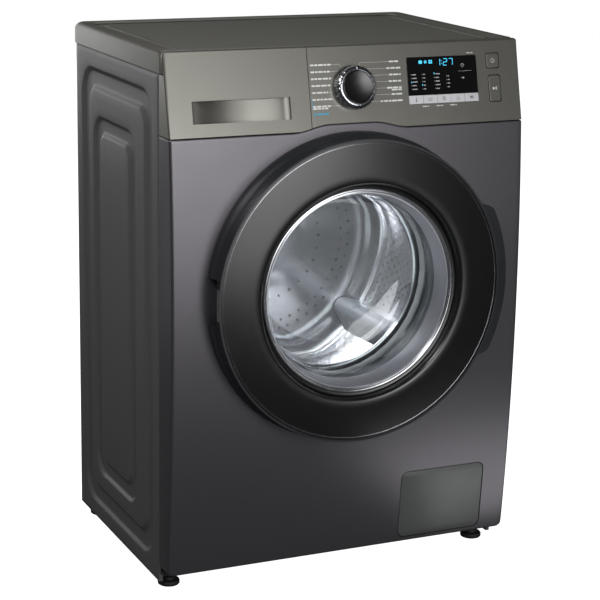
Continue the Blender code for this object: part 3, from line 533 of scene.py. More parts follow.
floor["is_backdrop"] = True


# ------------------------------------------------------------------ side panels
def side_skin(name, sign, node):
    deep = SKIN_X - 0.0050
    key = [
        (0.004, 0.394, 0.0138, 0.8140, 0.0006, SKIN_X),
        (0.030, 0.369, 0.038, 0.787, 0.050, SKIN_X),
        (0.040, 0.359, 0.048, 0.777, 0.042, deep),
        (0.059, 0.340, 0.066, 0.759, 0.034, deep),
        (0.070, 0.329, 0.077, 0.748, 0.026, SKIN_X),
        (0.087, 0.292, 0.098, 0.712, 0.040, SKIN_X),
        (0.096, 0.283, 0.107, 0.703, 0.034, deep),
        (0.112, 0.267, 0.122, 0.688, 0.026, deep),
        (0.122, 0.257, 0.132, 0.678, 0.020, SKIN_X),
    ]
    levels = [(*key[0][:5], SKIN_X - 0.0008)]
    levels.append((0.0048, 0.3932, 0.0146, 0.8132, 0.0008, SKIN_X))
    for a, b in zip(key, key[1:]):
        steps = 10 if abs(a[5] - b[5]) > 1e-6 else 3
        for k in range(1, steps + 1):
            t = k / steps
            row = [u * (1 - t) + v * t for u, v in zip(a[:5], b[:5])]
            levels.append((*row, a[5] + (b[5] - a[5]) * smooth(t)))
    last = key[-1]
    for t in (0.25, 0.5, 0.75):
        c = ((last[0] + last[1]) / 2, (last[2] + last[3]) / 2)
        levels.append((last[0] + (c[0] - last[0]) * t, last[1] + (c[0] - last[1]) * t, last[2] + (c[1] - last[2]) * t,
                       last[3] + (c[1] - last[3]) * t, 0.020 * (1 - t), SKIN_X))
    bm = bmesh.new()
    outer = [[bm.verts.new(P(sign * x, d, z)) for d, z in rrect(a, b, c, e, r, 14)] for a, b, c, e, r, x in levels]
    inner = [bm.verts.new(P(sign * (SKIN_X - 0.0066), d, z)) for d, z in rrect(0.0042, 0.3938, 0.0140, 0.8138, 0.0006, 14)]
    n = len(inner)
    for a, b in zip([inner] + outer, outer):
        for i in range(n):
            j = (i + 1) % n
            bm.faces.new((a[i], a[j], b[j], b[i]))
    bm.faces.new(outer[-1])
    bm.faces.new(inner)
    return put(obj_from(name, bm, deg=60), "cabinet", "side", node)


side_skin("side_skin_left", -1, "side_panel_left")
side_skin("side_skin_right", 1, "side_panel_right")


# ------------------------------------------------------------------ front panel
def front_skin():
    n_x = 110
    r = 0.0045
    xs = [-(SKIN_X - r) + 2 * (SKIN_X - r) * i / n_x for i in range(n_x + 1)]
    zs = [PANEL_Z0, PANEL_Z0 + 0.0003, PANEL_Z0 + 0.0008, PANEL_Z0 + 0.0016, PANEL_Z0 + 0.0028, PANEL_Z0 + 0.0042] + [PANEL_Z0 + 0.006 + (PANEL_Z1 - PANEL_Z0 - 0.012) * i / 120 for i in range(121)]
    zs += [PANEL_Z1 - 0.0025, PANEL_Z1 - 0.0012, PANEL_Z1 - 0.0004, PANEL_Z1]
    arc = [math.radians(90 * i / 8) for i in range(9)]
    bm = bmesh.new()

    def lift(z, k):
        """Small rounding of the free edges at the top and the bottom."""
        e = min(z - PANEL_Z0, PANEL_Z1 - z)
        return 0.0012 * (1 - math.sqrt(max(0.0, 1 - (1 - min(e, 0.0025) / 0.0025) ** 2)))

    def section(z, frac, t):
        """frac runs from 0 at the bottom to 1 at the top, where the wave counts in full."""
        row = []
        grow = smooth((frac - 0.80) / 0.20)
        zz = lambda x: z + wave(x) * grow
        cut = lift(z, t)
        tt = t if t else cut
        ed = face_d(0, z)
        low = max(0.0, CORNER - (z - PANEL_Z0))
        pull = CORNER - math.sqrt(CORNER ** 2 - low ** 2)
        wide = SKIN_X - pull
        pts = [(-wide + tt, SEAM, z)]
        for a in arc:
            pts.append((-wide + r - (r - tt) * math.cos(a), ed - r + (r - tt) * math.sin(a), z))
        for x in xs:
            x *= (wide - r) / (SKIN_X - r)
            pts.append((x, face_d(x, zz(x)) - tt, zz(x)))
        for a in arc[::-1]:
            pts.append((wide - r + (r - tt) * math.cos(a), ed - r + (r - tt) * math.sin(a), z))
        pts.append((wide - tt, SEAM, z))
        return [bm.verts.new(P(*p)) for p in pts]

    span = PANEL_Z1 - PANEL_Z0
    outer = [section(z, (z - PANEL_Z0) / span, 0.0) for z in zs]
    inner = [section(z, (z - PANEL_Z0) / span, 0.0016) for z in (*zs[:8], *zs[8:-3:6], zs[-1])]
    for rows in (outer, inner):
        for a, b in zip(rows, rows[1:]):
            for i in range(len(a) - 1):
                bm.faces.new((a[i], a[i + 1], b[i + 1], b[i]))
    for k in (0, -1):
        for i in range(len(outer[0]) - 1):
            bm.faces.new((outer[k][i], outer[k][i + 1], inner[k][i + 1], inner[k][i]))
    for e in (0, -1):
        bm.faces.new([row[e] for row in outer] + [row[e] for row in inner][::-1])
    return obj_from("front_skin", bm, "inox", deg=40)


SEAM = 0.3958
CORNER = 0.009
skin = front_skin()
boolean(skin, lathe("c1", [(0, 0.40), (0.2385, 0.40), (0.2385, 0.48), (0, 0.48)], n=192), deg=40)
# the flat land behind the door, which carries the gasket
boolean(skin, lathe("c1", [(0.1765, 0.4468), (0.2375, 0.4468), (0.2375, 0.4368), (0.2396, 0.4368), (0.2396, 0.4492), (0.2375, 0.4492), (0.2375, 0.4485), (0.1765, 0.4485)], n=192), how="UNION", deg=40)
boolean(skin, prism("c2", rrect(0.1010, 0.2535, 0.0425, 0.1592, 0.0125, 12), "Y", 0.40, 0.48), deg=40)
boolean(skin, box("c3", 0.1888, 0.2100, 0.40, 0.48, DOOR_Z - 0.0175, DOOR_Z + 0.0175), deg=40)
put(skin, "cabinet", "inox", "front_panel")


# ------------------------------------------------------------------ worktop
def ring_sweep(name, rows, mat, n=8):
    """A closed ring from rounded rectangles; each row is (x0, x1, d0, d1, r, z)."""
    loops = [[P(x, d, z) for x, d in rrect(x0, x1, d0, d1, r, n)] for x0, x1, d0, d1, r, z in rows]
    return from_loops(name, loops, mat, ring=True, deg=38)


def frame_row(inset, z, r, front=None):
    f = 0.4058 - inset * 0.35 if front is None else front
    return (-0.300 + inset, 0.300 - inset, inset, f, max(r, 0.0006), z)


rows = [frame_row(0.0, 0.8153, 0.0045), frame_row(0.0, 0.8400, 0.0045)]
for k in range(1, 10):
    a = math.radians(90 * k / 9)
    rows.append(frame_row(0.0085 * (1 - math.cos(a)), 0.8415 + 0.0085 * math.sin(a), 0.0085 if k < 3 else 0.012))
rows += [frame_row(0.0125, 0.8500, 0.012), frame_row(0.0165, 0.8494, 0.014)]
rows += [frame_row(0.0215, 0.8476, 0.016), frame_row(0.0225, 0.8466, 0.016)]
rows += [(-0.2716, 0.2716, 0.0186, 0.3984, 0.012, 0.8459), (-0.2716, 0.2716, 0.0186, 0.3984, 0.012, 0.8432), (-0.262, 0.262, 0.030, 0.385, 0.010, 0.8430),
         (-0.262, 0.262, 0.030, 0.385, 0.010, 0.8392), (-0.2915, 0.2915, 0.0105, 0.3945, 0.004, 0.8388), (-0.2915, 0.2915, 0.0105, 0.3945, 0.004, 0.8153)]
rows = [(a, b, c, min(d, 0.4058), r, z) for a, b, c, d, r, z in rows]
top_ring = ring_sweep("worktop_frame_skin", rows, "top")
put(top_ring, "cabinet", "top", "top_cover_frame")

board = from_loops("worktop_board_skin", [[P(x, d, z) for x, d in rrect(x0, x1, d0, d1, r, 8)] for x0, x1, d0, d1, r, z in (
    (-0.2715, 0.2715, 0.0185, 0.3985, 0.0115, 0.8433), (-0.2715, 0.2715, 0.0185, 0.3985, 0.0115, 0.8450),
    (-0.2710, 0.2710, 0.0190, 0.3980, 0.0112, 0.8454), (-0.2700, 0.2700, 0.0200, 0.3970, 0.0105, 0.8455))], "board")
put(board, "cabinet", "board", "top_cover_panel")

for sx, nm in ((-1, "left"), (1, "right")):
    x0, x1 = sorted((sx * 0.2585, sx * 0.2650))
    rib = from_loops(f"worktop_rib_{nm}", [[P(x, d, z) for x, d in rrect(x0 + i, x1 - i, 0.045 + i, 0.372 - i, 0.0030 - i * 0.6, 5)]
                                           for i, z in ((0, 0.8453), (0.0, 0.8464), (0.0006, 0.8473), (0.0016, 0.8478))], "board")
    put(rib, "cabinet", "board")

# ------------------------------------------------------------------ control panel and drawer front
OUTER = [(0.3955, 0.7240), (0.43845, 0.7240), (0.4096, 0.8496), (0.4062, 0.8496), (0.4139, 0.8139), (0.3955, 0.8139)]
INNER = [(0.3900, 0.7268), (0.4345, 0.7268), (0.4152, 0.8111), (0.3900, 0.8111)]


def under_wave(name, x0=-0.32, x1=0.32):
    k = 80
    top = [(x0 + (x1 - x0) * i / k, PANEL_Z1 + wave(x0 + (x1 - x0) * i / k) + 0.0005) for i in range(k + 1)]
    return prism(name, [(x0, 0.70), (x1, 0.70)] + top[::-1], "Y", 0.38, 0.46)


def face_shell(name, x0, x1):
    """One half of the control panel: a shell whose outer side edge and top edge are round."""
    outer = prism(name, OUTER, "X", x0, x1, "olive")
    side = x0 if x0 < -0.2 else x1
    top = P(0, 0.4096, 0.8496)

    def pick(a, b):
        on_side = abs(a.x - side) < 1e-5 and abs(b.x - side) < 1e-5
        on_top = all(abs(v.y - top.y) < 1e-5 and abs(v.z - top.z) < 1e-5 for v in (a, b))
        return on_top or (on_side and {round(a.z, 4), round(b.z, 4)} == {0.7240, 0.8496})

    round_edges(outer, pick, 0.0034, 5)
    boolean(outer, prism("c", INNER, "X", x0 + 0.005, x1 - 0.005))
    q, zt = 0.0065, 0.8496
    sg = 1 if side > 0 else -1
    corner = [(side - sg * q + sg * q * math.sin(math.radians(a)), zt - q + q * math.cos(math.radians(a))) for a in range(0, 91, 10)]
    corner += [(side + sg * 0.01, zt - q), (side + sg * 0.01, zt + 0.01), (side - sg * q, zt + 0.01)]
    boolean(outer, prism("c", corner, "Y", 0.38, 0.46))
    if x1 > 0.2:
        k = 40
        pts = [(-0.0655, 0.7252), (0.10, 0.7252)] + [(0.10 - 0.1655 * i / k, PANEL_Z1 + wave(0.10 - 0.1655 * i / k) + 0.0053) for i in range(k + 1)]
        boolean(outer, prism("c", pts, "Y", 0.3957, 0.4330), how="UNION")
    return outer


fascia = face_shell("fascia_skin", -0.0675, 0.2980)
boolean(fascia, under_wave("c"))
boolean(fascia, frect("c", 0.0990, 0.2220, 0.0329, 0.1056, -0.012, 0.02, r=0.0022))
boolean(fascia, frect("c", 0.2392, 0.2631, 0.0830, 0.1080, -0.012, 0.02, r=0.004))
boolean(fascia, frect("c", 0.2410, 0.2631, 0.0305, 0.0735, -0.012, 0.02, r=0.004))
KNOB = F(0.005, 0.0630, 0.0)
boolean(fascia, lathe("c", [(0, -0.02), (0.0045, -0.02), (0.0045, 0.02), (0, 0.02)], axis="N", base=KNOB, n=24))
soften(bevel(fascia, 0.0006, 2, 40))
put(fascia, "cabinet", "olive", "control_fascia")

dfront = face_shell("drawer_skin", -0.2980, -0.0685)
boolean(dfront, frect("c", -0.2620, -0.0980, 0.0180, 0.0566, -0.0215, -0.0010), how="UNION")


def grip_cut():
    """The finger recess: a scoop whose rear wall is an arc from one end to the other, over a flat floor."""
    x0, x1, s0, s1 = -0.2594, -0.1005, 0.0202, 0.0540
    xc, half = (x0 + x1) / 2, (x1 - x0) / 2
    row = []
    for i in range(49):
        u = -1 + 2 * i / 48
        depth = 0.0178 * (1 - abs(u) ** 2.3) ** 0.9
        if u > 0.93:
            depth = max(depth, 0.0036)
        row.append((xc + half * u, -depth))
    row[0] = (x0, 0.0001)
    outline = [(x0, 0.02)] + row + [(x1, 0.02)]
    return from_loops("c", [[F(x, s, h) for x, h in outline] for s in (s0, s1)])


boolean(dfront, grip_cut())
boolean(dfront, under_wave("c"))
soften(bevel(dfront, 0.0006, 2, 40))
put(dfront, "drawer", "olive", "drawer_front")

# ------------------------------------------------------------------ drawer tray
tray = box("tray_skin", -0.2500, -0.0850, 0.1500, 0.3952, 0.7465, 0.8020, "white")
boolean(tray, box("c", -0.2475, -0.1660, 0.1530, 0.3925, 0.7490, 0.85))
boolean(tray, box("c", -0.1635, -0.0875, 0.2830, 0.3925, 0.7490, 0.85))
boolean(tray, box("c", -0.1635, -0.0875, 0.1530, 0.2805, 0.7490, 0.85))
bevel(tray, 0.0008, 2, 40)
put(tray, "drawer", "white", "drawer_tray")

# ------------------------------------------------------------------ display, keys and print
put(frect("window_skin", 0.0994, 0.2216, 0.0468, 0.1052, -0.0024, 0.0004, r=0.0018, edge=0.0003), "cabinet", "display", "display_window")
for i in range(5):
    x0 = 0.0994 + i * 0.02446
    put(frect(f"option_skin_{i + 1}", x0, x0 + 0.0241, 0.0333, 0.0464, -0.0030, 0.0012, r=0.0007, edge=0.0004), f"option_key_{i + 1}", "silver", f"option_button_{i + 1}")
put(frect("power_skin", 0.2402, 0.2621, 0.0840, 0.1070, -0.0030, 0.0006, r=0.0035, edge=0.0008), "power_key", "olive", "power_button")
put(frect("start_skin", 0.2420, 0.2621, 0.0315, 0.0725, -0.0030, 0.0006, r=0.0035, edge=0.0008), "start_key", "olive", "start_button")
# Near-black sheets behind the key and display openings: painted shade that makes the gaps round them read dark.
put(frect("power_well_shade", 0.2394, 0.2629, 0.0832, 0.1078, -0.0062, -0.0048, r=0.0035), "cabinet", "gap_shade")
put(frect("start_well_shade", 0.2412, 0.2629, 0.0307, 0.0733, -0.0062, -0.0048, r=0.0035), "cabinet", "gap_shade")
put(frect("display_well_shade", 0.0992, 0.2218, 0.0331, 0.1054, -0.0064, -0.0050, r=0.0018), "cabinet", "gap_shade")


class Print:
    """Collects flat marks on the control panel into one thin closed mesh."""

    def __init__(self, h=0.0, t=0.00006):
        self.parts, self.h, self.t = [], h, t

    def bar(self, x0, x1, s0, s1, r=0.0):
        self.parts.append(frect("mark", min(x0, x1), max(x0, x1), min(s0, s1), max(s0, s1), self.h - 0.00008, self.h + self.t, r=min(r, abs(x1 - x0) * 0.49, abs(s1 - s0) * 0.49), n=3))

    def line(self, x0, s0, x1, s1, w):
        d = Vector((x1 - x0, s1 - s0))
        n = Vector((-d.y, d.x)).normalized() * w / 2
        pts = [(x0 + n.x, s0 + n.y), (x0 - n.x, s0 - n.y), (x1 - n.x, s1 - n.y), (x1 + n.x, s1 + n.y)]
        self.parts.append(from_loops("mark", [[F(x, s, h) for x, s in pts] for h in (self.h - 0.00008, self.h + self.t)]))

    def ring(self, x, s, r, w, a0=0, a1=360, n=24):
        full = abs(a1 - a0) >= 360
        k = [math.radians(a0 + (a1 - a0) * i / n) for i in range(n if full else n + 1)]
        sec = []
        for a in k:
            c, q = math.cos(a), math.sin(a)
            sec.append([F(x + (r + w / 2) * c, s + (r + w / 2) * q, self.h - 0.00008), F(x + (r + w / 2) * c, s + (r + w / 2) * q, self.h + self.t),
                        F(x + (r - w / 2) * c, s + (r - w / 2) * q, self.h + self.t), F(x + (r - w / 2) * c, s + (r - w / 2) * q, self.h - 0.00008)])
        self.parts.append(from_loops("mark", sec, ring=full))

    def poly(self, pts):
        self.parts.append(from_loops("mark", [[F(x, s, h) for x, s in pts] for h in (self.h - 0.00008, self.h + self.t)]))

    def done(self, name, body, mat):
        ob = join(name, self.parts, mat)
        return put(ob, body, mat)


rng = random.Random(7)


def words(pr, x, s, width, align, height=0.0025):
    """A printed caption shown as two or three plain strokes."""
    left = width
    cur = x if align == "l" else x - width
    while left > 0.002:
        w = min(left, rng.uniform(0.004, 0.010))
        if left - w < 0.0025:
            w = left
        pr.bar(cur, cur + w, s - height / 2, s + height / 2, r=0.0005)
        cur += w + 0.0013
        left -= w + 0.0013


KX, KS, KR = 0.005, 0.0630, 0.0343
pr = Print()
lw = [0.0345, 0.0320, 0.0335, 0.0315, 0.0270, 0.0330, 0.0300]
for i in range(7):
    s = S(0.8205) - i * 0.0104
    words(pr, -0.0640, s, lw[i], "l")
    if i == 6:
        words(pr, -0.0640, s - 0.0032, 0.0280, "l")
    y = s - KS
    if i == 0:
        pr.line(-0.0640 + lw[i] + 0.0015, s, -0.0150, s, 0.00035)
        pr.line(-0.0150, s, -0.0125, s - 0.0045, 0.00035)
    elif i in (1, 4, 6):
        xe = KX - math.sqrt(max(0.0, KR ** 2 - y ** 2)) - 0.001
        if xe > -0.0640 + lw[i] + 0.003:
            pr.line(-0.0640 + lw[i] + 0.0012, s, xe, s, 0.00035)
rw = [0.0190, 0.0240, 0.0200, 0.0215, 0.0250, 0.0180, 0.0380]
for i in range(7):
    s = S(0.8215) - i * 0.0100
    words(pr, 0.0880, s, rw[i], "r")
    if i == 4:
        words(pr, 0.0880, s - 0.0032, 0.0170, "r")
    y = s - KS
    start = KX + 0.0145 if i == 0 else KX + math.sqrt(max(0.0, KR ** 2 - y ** 2)) + 0.001
    if 0.0880 - rw[i] - 0.0012 > start + 0.001:
        pr.line(start, s, 0.0880 - rw[i] - 0.0012, s, 0.00035)
    if i == 0:
        pr.line(start, s, start - 0.0015, s - 0.0045, 0.00035)
for i in range(3):
    x = 0.121 + i * 0.0245
    pr.line(x, 0.0300, x, 0.0315, 0.0003)
    words(pr, x + 0.0012, 0.0294, 0.0110, "l", 0.0014)
words(pr, 0.2050, 0.1092, 0.0120, "l", 0.0012)
pr.done("panel_print", "cabinet", "print")

pr = Print()
pr.bar(-0.0652, -0.0644, S(0.7555), S(0.7730))
pr.bar(-0.0632, -0.0598, S(0.7466), S(0.7502), r=0.0006)
words(pr, -0.0580, S(0.7484), 0.0200, "l", 0.0028)
pr.done("panel_print_cyan", "cabinet", "cyan_print")


def seven(pr, x, s, w, h, digit, t=0.0011, lean=0.0006):
    seg = {"0": "abcdef", "1": "bc", "2": "abged", "3": "abgcd", "4": "fgbc", "5": "afgcd", "6": "afgedc", "7": "abc", "8": "abcdefg", "9": "abcdfg"}[digit]
    g = 0.0002
    lines = {"a": ((g, h), (w - g, h)), "b": ((w, h / 2 + g), (w, h - g)), "c": ((w, g), (w, h / 2 - g)), "d": ((g, 0), (w - g, 0)),
             "e": ((0, g), (0, h / 2 - g)), "f": ((0, h / 2 + g), (0, h - g)), "g": ((g, h / 2), (w - g, h / 2))}
    for k in seg:
        (xa, sa), (xb, sb) = lines[k]
        pr.line(x + xa + lean * sa / h, s + sa, x + xb + lean * sb / h, s + sb, t)


lit = Print(h=0.00045)
ds = S(0.8125)
seven(lit, 0.1570, ds, 0.0, 0.0100, "1")
lit.ring(0.1602, ds + 0.0030, 0.00035, 0.0006, n=10)
lit.ring(0.1602, ds + 0.0072, 0.00035, 0.0006, n=10)
seven(lit, 0.1630, ds, 0.0062, 0.0100, "2")
seven(lit, 0.1730, ds, 0.0062, 0.0100, "7")
lit.bar(0.1200, 0.1262, S(0.8160), S(0.8210), r=0.0018)
lit.ring(0.1318, S(0.8185), 0.0018, 0.0012, n=18)
lit.bar(0.1300, 0.1336, S(0.8178), S(0.8190), r=0.0004)
lit.bar(0.1375, 0.1404, S(0.8188), S(0.8212), r=0.0004)
lit.bar(0.1410, 0.1438, S(0.8188), S(0.8212), r=0.0004)
lit.bar(0.1375, 0.1404, S(0.8158), S(0.8182), r=0.0004)
lit.bar(0.1410, 0.1438, S(0.8158), S(0.8182), r=0.0004)
lit.bar(0.1052, 0.1064, S(0.7876), S(0.7900))
lit.bar(0.1240, 0.1252, S(0.7830), S(0.7854))
lit.bar(0.1452, 0.1464, S(0.7998), S(0.8022))
lit.done("display_lit", "cabinet", "cyan")

dim = Print(h=0.00045)
for c, (x, w, rows_) in enumerate(((0.1076, 0.0085, 5), (0.1266, 0.0035, 5), (0.1480, 0.0080, 5), (0.1690, 0.0040, 4))):
    for k in range(rows_):
        s = S(0.8000) - k * 0.0056 - (0.0040 if c == 3 else 0)
        dim.bar(x - 0.0020, x - 0.0014, s - 0.0008, s + 0.0008)
        dim.bar(x, x + w * (0.75 + 0.25 * ((k * 7 + c) % 3) / 2), s - 0.0007, s + 0.0007, r=0.0003)
dim.bar(0.1885, 0.2120, S(0.8026), S(0.8030))
dim.ring(0.1965, S(0.8115), 0.0026, 0.0005, -60, 300)
dim.line(0.1965, S(0.8115), 0.1965, S(0.8138), 0.0005)
dim.line(0.1965, S(0.8115), 0.1980, S(0.8108), 0.0005)
dim.line(0.1930, S(0.7918), 0.1945, S(0.7932), 0.0006)
dim.bar(0.1955, 0.1985, S(0.7912), S(0.7936), r=0.0005)
dim.done("display_marks", "cabinet", "print_dim")

icons = [Print(h=0.0012) for _ in range(5)]
for i, ic in enumerate(icons):
    x, s = 0.0994 + i * 0.02446 + 0.01205, 0.0400
    if i == 0:
        ic.bar(x - 0.0005, x + 0.0005, s - 0.0020, s + 0.0034, r=0.0004)
        ic.ring(x, s - 0.0026, 0.0009, 0.0008, n=12)
    elif i == 1:
        ic.line(x - 0.0032, s + 0.0020, x - 0.0022, s - 0.0028, 0.0006)
        ic.line(x + 0.0032, s + 0.0020, x + 0.0022, s - 0.0028, 0.0006)
        ic.line(x - 0.0022, s - 0.0026, x + 0.0022, s - 0.0026, 0.0006)
        ic.line(x - 0.0020, s + 0.0005, x + 0.0020, s + 0.0012, 0.0006)
    elif i == 2:
        ic.ring(x, s, 0.0026, 0.0006, 20, 340)
        ic.ring(x, s, 0.0010, 0.0006, 200, 520, n=14)
    elif i == 3:
        ic.ring(x, s - 0.0006, 0.0022, 0.0006, -200, 20)
        ic.line(x, s + 0.0030, x, s - 0.0002, 0.0006)
    else:
        for k in range(3):
            ic.bar(x - 0.0030 + k * 0.0022, x - 0.0016 + k * 0.0022, s - 0.0020, s + 0.0022, r=0.0003)
    ic.done(f"option_icon_{i + 1}", f"option_key_{i + 1}", "print_dark")
ic = Print(h=0.0006)
ic.ring(0.25115, 0.0955, 0.0030, 0.0007, -235, 55)
ic.line(0.25115, 0.0962, 0.25115, 0.0995, 0.0007)
ic.done("power_icon", "power_key", "print")
ic = Print(h=0.0006)
ic.poly([(0.2484, 0.0548), (0.2484, 0.0492), (0.2526, 0.0520)])
ic.bar(0.2535, 0.2542, 0.0492, 0.0548)
ic.bar(0.2550, 0.2557, 0.0492, 0.0548)
ic.done("start_icon", "start_key", "print")


# ------------------------------------------------------------------ programme dial
def toothed_ring():
    """A chrome grip ring with notches round its wall."""
    n = 192
    prof = [(0.0250, 0.0030), (0.0318, 0.0008), (0.0338, 0.0010), (0.0340, 0.0020), (0.0340, 0.0048), (0.0338, 0.0058), (0.0334, 0.0090), (0.0331, 0.0130), (0.0327, 0.0150),
            (0.0312, 0.0166), (0.0296, 0.0176), (0.0270, 0.0188), (0.0254, 0.0184)]
    loops = []
    for i in range(n):
        a = 2 * math.pi * i / n
        notch = max(0.0, math.cos(a * 24)) ** 6
        row = []
        for r, h in prof:
            k = 0.0013 * notch * smooth((h - 0.0060) / 0.004) * smooth((0.0185 - h) / 0.003) if r > 0.0290 else 0.0
            row.append(KNOB + Vector((1, 0, 0)) * (r - k) * math.cos(a) + UP_S * (r - k) * math.sin(a) + NORMAL * h)
        loops.append(row)
    return from_loops("dial_ring", loops, ring=True, deg=50)


put(toothed_ring(), "dial", "dialring")
dome = [(0.0256, 0.0040), (0.0256, 0.0196), (0.0252, 0.0204), (0.0246, 0.0206)] + [(0.0240 * (1 - t / 12), 0.0176 + 0.0027 * (1 - t / 12) ** 2) for t in range(12)] + [(0, 0.0176)]
put(lathe("dial_cap", [(0, 0.0040)] + dome, axis="N", base=KNOB, n=128, deg=40), "dial", "gloss", "dial_knob")
ptr = from_loops("dial_pointer", [[KNOB + Vector((1, 0, 0)) * x + UP_S * s + NORMAL * h for x, s in ((-0.0006, 0.0268), (0.0006, 0.0268), (0.0006, 0.0298), (-0.0006, 0.0298))] for h in (0.0165, 0.0194)])
put(ptr, "dial", "print")
put(lathe("dial_spindle", [(0, -0.0118), (0.0030, -0.0118), (0.0030, 0.0045), (0, 0.0045)], axis="N", base=KNOB, n=32), "dial", "black")

# ------------------------------------------------------------------ door
NOTCH = 0.0365
rim_prof = [(0.2432, 0.4512), (0.2432, 0.4560)] + [(0.2432 - 0.0047 * smooth(t / 8), 0.4560 + 0.0100 * t / 8) for t in range(1, 9)]
rim_prof += [(0.2385, 0.4872), (0.2380, 0.4880), (0.2350, 0.4880), (0.2350, 0.4630), (0.2390, 0.4570), (0.2390, 0.4540), (0.2335, 0.4540), (0.2335, 0.4512)]
def door_rim():
    """The outer frame: its skirt reaches back to the bowed sheet all the way round."""
    loops = []
    for i in range(224):
        a = 2 * math.pi * i / 224
        z = DOOR_Z + 0.2432 * math.sin(a)
        back_d = min(0.4512, face_d(0, z) + 0.0011)
        row = [(0.2432, back_d)] + rim_prof[1:-1] + [(0.2335, 0.4512), (0.2406, 0.4512), (0.2406, back_d)]
        loops.append([P(r * math.cos(a), d, DOOR_Z + r * math.sin(a)) for r, d in row])
    return from_loops("door_rim_skin", loops, "satin_black", ring=True, deg=40)


rim = door_rim()
blade_out = []
for i in range(61):
    a = -33 + 66 * i / 60
    e = smooth(min(1.0, (33 - abs(a)) / 7.0))
    blade_out.append((a, 0.2370 + 0.0198 * e))
blade = [(0.2365 * math.cos(math.radians(a)), DOOR_Z + 0.2365 * math.sin(math.radians(a))) for a, r in blade_out]
blade += [(r * math.cos(math.radians(a)), DOOR_Z + r * math.sin(math.radians(a))) for a, r in blade_out[::-1]]
handle = prism("c", blade, "Y", 0.4662, 0.4792)
bevel(handle, 0.0030, 4, 50)
boolean(rim, handle, how="UNION", deg=40)
under = [(0.2392 * math.cos(math.radians(a)), DOOR_Z + 0.2392 * math.sin(math.radians(a))) for a in [x * 0.5 for x in range(-50, 53)]]
under += [(0.2700 * math.cos(math.radians(a)), DOOR_Z + 0.2700 * math.sin(math.radians(a))) for a in [x * 0.5 for x in range(52, -51, -1)]]
boolean(rim, prism("c", under, "Y", 0.4480, 0.4659), deg=40)
boolean(rim, box("c", -0.2600, -0.1950, 0.4400, 0.4872, DOOR_Z - NOTCH, DOOR_Z + NOTCH), deg=40)
put(rim, "door", "satin_black", "door_outer_frame")

inner = lathe("door_inner_skin", [(0.1612, 0.4545), (0.2330, 0.4545), (0.2345, 0.4575), (0.2345, 0.4660), (0.2310, 0.4660), (0.2310, 0.4585), (0.1760, 0.4585),
                                  (0.1760, 0.4700), (0.1612, 0.4700)], "black", n=128)
boolean(inner, box("c", -0.2600, -0.1985, 0.4400, 0.4872, DOOR_Z - NOTCH, DOOR_Z + NOTCH))
boolean(inner, box("c", 0.1885, 0.2115, 0.4400, 0.4872, DOOR_Z - 0.0140, DOOR_Z + 0.0140))
for sz in (-1, 1):
    z0, z1 = sorted((DOOR_Z + sz * 0.0245, DOOR_Z + sz * 0.0355))
    ear = [(HINGE_X + 0.0058 * math.cos(math.radians(a)), HINGE_D + 0.0058 * math.sin(math.radians(a))) for a in range(90, 271, 12)]
    ear += [(-0.2180, 0.4740), (-0.1965, 0.4560), (-0.1930, 0.4575), (-0.1930, 0.4680), (-0.2170, 0.4858)]
    boolean(inner, prism("c", ear, "Z", z0, z1), how="UNION")
    boolean(inner, lathe("c", [(0, 0.40), (0.0033, 0.40), (0.0033, 0.56), (0, 0.56)], x=HINGE_X, d=HINGE_D, axis="Z", n=24))
put(inner, "door", "black", "door_inner_frame")

ring_prof = [(0.2378, 0.4856)]
for i in range(0, 25):
    u = i / 24
    r = 0.2376 - (0.2376 - 0.1720) * u
    dd = 0.4915 - 0.0046 * (1 - u) ** 1.35 - 0.0012 * max(0.0, (u - 0.80) / 0.20) ** 2
    ring_prof.append((r, dd))
ring_prof += [(0.1705, 0.4895), (0.1692, 0.4883), (0.1686, 0.4868), (0.1674, 0.4764), (0.1664, 0.4748), (0.1640, 0.4740), (0.1610, 0.4738), (0.1610, 0.4712),
              (0.1692, 0.4725), (0.1712, 0.4850), (0.1900, 0.4862), (0.2200, 0.4852)]
put(lathe("door_face_skin", ring_prof, n=224, deg=32), "door", "gloss", "door_front_ring")

chrome = []
for i in range(12):
    a = math.radians(-20 + 220 * i / 11)
    chrome.append((0.1592 + 0.0030 * math.cos(a), 0.4745 + 0.0030 * math.sin(a)))
chrome += [(0.1548, 0.4738)]
put(lathe("door_chrome_ring", [(r, d) for r, d in chrome] + [(0.1550, 0.4736), (0.1600, 0.4736)], n=192, deg=40), "door", "chrome")


put(lathe("door_ring_bead", [(0.2323, 0.4872), (0.2321, 0.48775), (0.2316, 0.4879), (0.2311, 0.48775), (0.2309, 0.4872)], n=192, deg=50), "door", "dialring")
band = [(0.1552, 0.4737), (0.1531, 0.4737), (0.1519, 0.4700), (0.1496, 0.4600), (0.1470, 0.4500), (0.1463, 0.4445), (0.1470, 0.4440), (0.1479, 0.4495), (0.1508, 0.4598), (0.1531, 0.4690)]
put(lathe("door_bowl_band", band, n=192, deg=50), "door", "satin")


def spline(pts, k=6):
    out = []
    q = [pts[0]] + pts + [pts[-1]]
    for i in range(1, len(q) - 2):
        a, b, c, e = (Vector(v) for v in q[i - 1:i + 3])
        for j in range(k):
            t = j / k
            out.append(tuple(0.5 * ((2 * b) + (c - a) * t + (2 * a - 5 * b + 4 * c - e) * t * t + (3 * b - a - 3 * c + e) * t ** 3)))
    return out + [pts[-1]]


